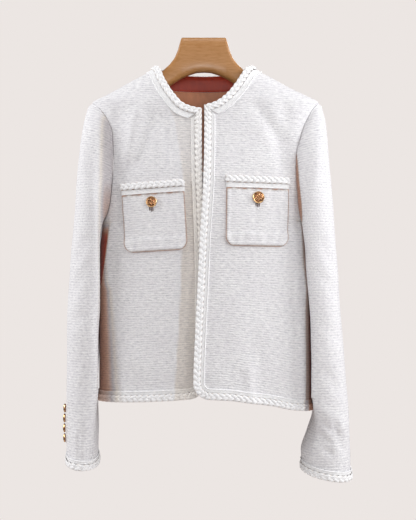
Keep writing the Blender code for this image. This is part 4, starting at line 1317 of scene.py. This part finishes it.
quarter = np.linspace(0.0, np.pi / 2, 12)[1:]
corner_start = POCKET_HEIGHT - POCKET_RADIUS
v = np.concatenate([
    np.linspace(0.0, 26.0, 22),
    np.linspace(26.0, corner_start, 30)[1:],
    POCKET_HEIGHT - POCKET_RADIUS * (1 - np.sin(quarter)),
])
rise = np.clip(v - corner_start, 0.0, POCKET_RADIUS)
half = POCKET_WIDTH / 2 - POCKET_RADIUS + np.sqrt(np.maximum(POCKET_RADIUS**2 - rise**2, 0.0))
share = np.linspace(-1, 1, POCKET_COLUMNS)
u = half[:, None] * (np.sin(share * np.pi / 2) + share) * 0.5
down = np.broadcast_to(v[:, None], u.shape)
to_edge = np.minimum(half[:, None] - np.abs(u), POCKET_HEIGHT - down)
# Painted shade along the sewn edge, and a ragged painted shadow under the trim.
ragged = 0.55 + 0.25 * np.sin(u / 4.1 + 1.0) + 0.2 * np.sin(u / 1.9)
contact = bell(np.maximum(down - POCKET_TRIM_WIDTH + 0.4, 0.0), 0.0, 1.6)
shade = np.clip(bell(to_edge, 0.0, 1.15) + ragged * contact, 0.0, 0.52)
weave = np.stack([u + 300.0, -down + 17.0, shade], axis=-1)
for tag, pocket in POCKETS.items():
    lapping = pocket["side"] > 0
    x, z = pocket_place(pocket, u, down)
    outer = on_front(x, z, pocket_lift(u, down, to_edge), lapping)
    inner = on_front(x, z, np.full(x.shape, POCKET_SEAT), lapping)
    piece = closed_mesh([wall(outer, inner, weave)], f"pocket_{tag}_tweed", white_tweed)
    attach(piece, "root")
    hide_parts(f"pocket_{tag}")

    def place_on(along, across, out, pocket=pocket, lapping=lapping):
        """The pocket's (u, v) from (along, across), on top of its cloth."""
        u, v = along - POCKET_WIDTH / 2 - POCKET_TRIM_OVER, across - POCKET_TRIM_OVER
        x, z = pocket_place(pocket, u, v)
        return on_front(x, z, out + POCKET_SEAT + POCKET_CLOTH, lapping)

    total = POCKET_WIDTH + 2 * POCKET_TRIM_OVER
    piece = make_trim(f"trim_pocket_{tag}_braid", total, POCKET_TRIM_WIDTH, place_on, tuck=POCKET_TUCK)
    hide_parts(f"trim_pocket_{tag}")


# Under each button show three threads of its buttonhole in rust buttonhole twist, and a white bar tack.
THREAD_RADIUS, TACK_RADIUS = 0.8, 1.1
rust_thread = satin_material("rust_buttonhole_twist", "#5A2C20", "#34140E", roughness=0.6)


def stitch(pocket, start, end, radius, stations=9, around=8):
    """Thread from one (u, v) to another: a tube whose radius is r sqrt(sin(pi share))."""
    share = np.linspace(0.0, 1.0, stations)
    u, v = (a + (b - a) * share[:, None] for a, b in zip(start, end))
    turn = turns_round(around)
    size = radius * np.sqrt(np.sin(np.pi * np.clip(share, 0.02, 0.98)))[:, None]
    upright = abs(end[1] - start[1]) > abs(end[0] - start[0])
    spread = size * np.cos(turn)
    u, v = u + spread * upright, v + spread * (not upright)
    lift = pocket_lift(u, v, np.full_like(u, 30.0)) + 0.3 + size * np.sin(turn)
    points = on_front(*pocket_place(pocket, u, v), lift, pocket["side"] > 0)
    return points, tube_faces(stations, around, False), np.stack([u, v, np.zeros_like(u)], axis=-1)


for tag, pocket in POCKETS.items():
    tilt = math.radians(pocket["tilt"])
    run_x, run_z = pocket["button"][0] - pocket["x"], pocket["button"][1] - pocket["top"]
    u = run_x * math.cos(tilt) + run_z * math.sin(tilt)
    v = run_x * math.sin(tilt) - run_z * math.cos(tilt)
    threads = [
        stitch(pocket, (u + shift, v + 6.0), (u + shift * 0.9, v + low), THREAD_RADIUS)
        for shift, low in ((-3.6, 14.5), (-1.0, 16.0), (1.6, 15.0))
    ]
    tack = [stitch(pocket, (u - 1.6, v + 18.0), (u + 1.4, v + 18.2), TACK_RADIUS)]
    for parts, name, material, slot_name in (
        (threads, "buttonhole", rust_thread, "rust_facing"),
        (tack, "bar_tack", white_braid, "white_plait"),
    ):
        piece = closed_mesh(parts, f"{name}_{tag}", material, bend=80.0)
        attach(piece, "root")


# ---------------------------------------------------------------- buttons
# Domed gilt brass buttons with a plain raised rim, a ring of beads and a small rosette in low relief,
# its hollows darkened with reddish lacquer. Two close the pockets and four sit at each cuff.

CUFF_BUTTON_RADIUS, CUFF_BUTTON_PITCH, CUFF_BUTTON_FIRST = 7.2, 16.0, 41.0
CUFF_BUTTON_TURN = {-1: math.radians(18), 1: math.radians(-26)}
POCKET_BUTTON_SEAT, CUFF_BUTTON_SEAT = 0.8, 0.35
PETALS, BEADS, BUTTON_ROUND, DOME_RINGS = 8, 24, 48, 15
BUTTON_SHARES = np.array((  # radius of each ring over the button's, from the middle to the back
    0.0, 0.08, 0.16, 0.24, 0.32, 0.4, 0.48, 0.56, 0.63, 0.68, 0.72, 0.76, 0.8, 0.84, 0.88, 0.93, 0.98,
    1.0, 0.98, 0.86,
))
SIDE_HEIGHTS = (0.36, 0.33, 0.22, 0.1, 0.0)  # of the rings after the dome's

# Gilt brass, polished and worn: warm yellow metal, with reddish lacquer left in its hollows; the same
# red-brown is painted as shade on the buttons' undersides and edges.
gilt_brass, tree, shader = new_material("gilt_brass", Metallic=1.0, Roughness=0.28)
place = add_node(tree, "ShaderNodeAttribute", attribute_name="weave").outputs["Vector"]
lacquer_and_painted_shade = add_node(tree, "ShaderNodeSeparateXYZ", {"Vector": place}).outputs["Z"]
colour = add_node(
    tree, "ShaderNodeMix", {"Factor": lacquer_and_painted_shade, "A": linear("#F0C690"), "B": linear("#7A2416")},
    data_type="RGBA",
)
tree.links.new(colour.outputs["Result"], shader.inputs["Base Color"])


def make_button(name, centre, normal, radius, darkness=0.6):
    """Turned dome, up = 0.55 sqrt(1 - (0.82 share)^2) of its radius, with relief: a rim, beads as 24
    waves round, and a rosette of 8 petals about the middle."""
    away = unit(np.asarray(normal, float))
    first = unit(np.cross(away, (0.0, 0.0, 1.0)))
    second = np.cross(away, first)
    share = BUTTON_SHARES[:, None]
    turn = turns_round(BUTTON_ROUND)
    on_dome = (np.arange(len(share)) < DOME_RINGS)[:, None]
    up = 0.55 * np.sqrt(np.clip(1 - (share * 0.82) ** 2, 0, 1))
    up[DOME_RINGS:, 0] = SIDE_HEIGHTS
    rim = 0.06 * bell(share, 0.88, 0.05) - 0.05 * bell(share, 0.76, 0.04)
    rosette = 0.05 * np.cos(PETALS * turn) * bell(share, 0.36, 0.2)
    rosette = rosette + 0.03 * np.cos(BEADS * turn) * bell(share, 0.66, 0.05)
    height = up + (rim + rosette) * on_dome
    round_way = np.cos(turn)[:, None] * first + np.sin(turn)[:, None] * second
    flat = share[..., None] * radius * round_way
    rings = centre + flat + away * radius * height[..., None]
    rings[0] = rings[0].mean(axis=0) + flat[1] * 0.05
    weave = np.zeros(rings.shape)
    lacquer_and_painted_shade = np.clip(darkness - 9 * rosette - 9 * np.minimum(rim, 0), 0, 1)
    weave[..., 2] = lacquer_and_painted_shade * on_dome * (share < 0.8)
    # Painted shade: the button's underside and edge take the red-brown at `darkness`.
    weave[-3:, :, 2] = darkness
    faces = tube_faces(len(share), BUTTON_ROUND, False)
    piece = closed_mesh([(rings, faces, weave)], name + "_gilt", gilt_brass, bend=60.0)
    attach(piece, "root")
    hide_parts(name)


for tag, pocket in POCKETS.items():
    x, z = np.array(pocket["button"])[:, None]
    seat = np.array([POCKET_SEAT + POCKET_CLOTH + POCKET_BUTTON_SEAT])
    base, above = (on_front(x, z, seat + up, pocket["side"] > 0)[0] for up in (0.0, 1.0))
    make_button(f"button_pocket_{tag}", base, above - base, pocket["radius"])
fine = np.linspace(LAST_RING - 4, LAST_RING, 200)
for side, tag in SIDES:
    turn = np.full_like(fine, CUFF_BUTTON_TURN[side])
    up = reach_of(sleeve_surface(side, turn, fine)[::-1])
    for number in range(4):
        distance = CUFF_BUTTON_FIRST + number * CUFF_BUTTON_PITCH
        ring = np.array([np.interp(distance, up, fine[::-1])])
        base = sleeve_points(side, turn[:1], ring, np.array([CUFF_BUTTON_SEAT]))[0]
        normal = sleeve_normal(side, turn[:1], ring)[0]
        # The cuff buttons are painted darker, as the shade they stand in.
        make_button(f"button_cuff_{tag}_{number + 1}", base, normal, CUFF_BUTTON_RADIUS, darkness=0.8)


# ---------------------------------------------------------------- hanger
# Broad shoulder-shaped hanger moulded from beech ply, with rounded edges, lacquered in a warm tan.
# Its arms widen outwards to carry the shoulders, and its top is cut flat in the middle.

# Top, underside and half thickness at a distance from the middle.
HANGER = table("""
out     top  under half
0       0.0  -56.8 11.0
12      0.0  -57.5 11.0
26      0.0  -62.0 11.3
35.3    0.0  -66.5 11.6
37.0   -1.6  -67.3 11.7
39.0   -8.0  -68.4 11.8
42.6  -21.0  -70.5 12.0
48.0  -34.0  -74.0 12.3
56.0  -44.5  -79.0 12.8
68.0  -55.5  -86.0 13.6
84.0  -63.0  -94.5 15.0
104   -72.5 -104.0 17.5
125   -83.0 -114.5 20.0
146   -94.5 -125.0 21.5
160  -102.0 -130.0 20.5
168  -107.0 -129.0 15.0
""")
HANGER_MIDDLE = -1.2  # the hanger stands this far to one side of the jacket's middle
HANGER_CREST_DROP, HANGER_SIDE_ROOM, HANGER_SHOULDER = 3.1, 4.4, 78.0
HANGER_ROUND, HANGER_POWER = 48, 3.6


def tucked(points, room):
    """The points moved inwards until they lie at least `room` under the body's surface."""
    for _ in range(12):
        slope = gradient(points)
        size = np.linalg.norm(slope, axis=-1)
        short = np.maximum(level(points) / size + room, 0.0)
        points = points - (short / size)[..., None] * slope
    return points


# Lacquered beech: grain in flecks 14 mm long along the arms and 2.4 mm high, under a satin gloss.
lacquered_beech, tree, shader = new_material(
    "lacquered_beech", Roughness=0.42, Coat_Weight=0.25, Coat_Roughness=0.25
)
place = add_node(tree, "ShaderNodeTexCoord").outputs["Object"]
fleck = (70.0, 200.0, 420.0)  # flecks to a metre along X, Y and Z
scaled = add_node(tree, "ShaderNodeMapping", {"Vector": place, "Scale": fleck})
grain = add_node(
    tree, "ShaderNodeTexNoise",
    {
        "Vector": scaled.outputs["Vector"], "Scale": 1.0, "Detail": 4.0, "Roughness": 0.6,
        "Distortion": 0.4,
    },
).outputs["Fac"]
tans = ((0.3, "#AA763F"), (0.7, "#BC8A58"))
ramp = add_node(tree, "ShaderNodeValToRGB", {"Fac": grain}, stops=tans)
tree.links.new(ramp.outputs["Color"], shader.inputs["Base Color"])
bump = add_node(tree, "ShaderNodeBump", {"Height": grain, "Strength": 0.15, "Distance": 0.3 * MM})
tree.links.new(bump.outputs["Normal"], shader.inputs["Normal"])

arm = [np.linspace(0, 35, 14)[:-1], np.linspace(35, 43, 12)[:-1], np.linspace(43, 168, 60)]
arm = np.concatenate(arm)
out = np.concatenate([-arm[:0:-1], arm])
x = out + HANGER_MIDDLE
top, under, thick = (
    np.interp(np.abs(out), HANGER["out"], HANGER[name])[:, None] for name in ("top", "under", "half")
)
# Beyond the shoulder's start the top follows the shoulder seam, a little below it.
seam_heights = np.linspace(SHOULDER_TIP, NECK_POINT, 120)
crest = np.empty_like(x)
for side in (-1.0, 1.0):
    widths = half_width(side, seam_heights)
    crest = np.where(x * side > 0, np.interp(np.abs(x), widths[::-1], seam_heights[::-1]), crest)
on_shoulder = np.abs(out) > HANGER_SHOULDER
top[on_shoulder, 0] = crest[on_shoulder] - HANGER_CREST_DROP
turn = turns_round(HANGER_ROUND)
y = thick * signed_power(np.cos(turn), 2 / HANGER_POWER)
z = (top + under) / 2 + (top - under) / 2 * signed_power(np.sin(turn), 2 / HANGER_POWER)
rings = np.stack(np.broadcast_arrays(x[:, None], y, z), axis=-1)
rings[on_shoulder, :, 1:] = tucked(rings[on_shoulder], HANGER_SIDE_ROOM)[..., 1:]
faces = tube_faces(len(x), HANGER_ROUND, False)
piece = closed_mesh([(rings, faces, np.zeros(rings.shape))], "hanger_beech", lacquered_beech)
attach(piece, "root")
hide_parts("hanger")


# ---------------------------------------------------------------- size

low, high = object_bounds()
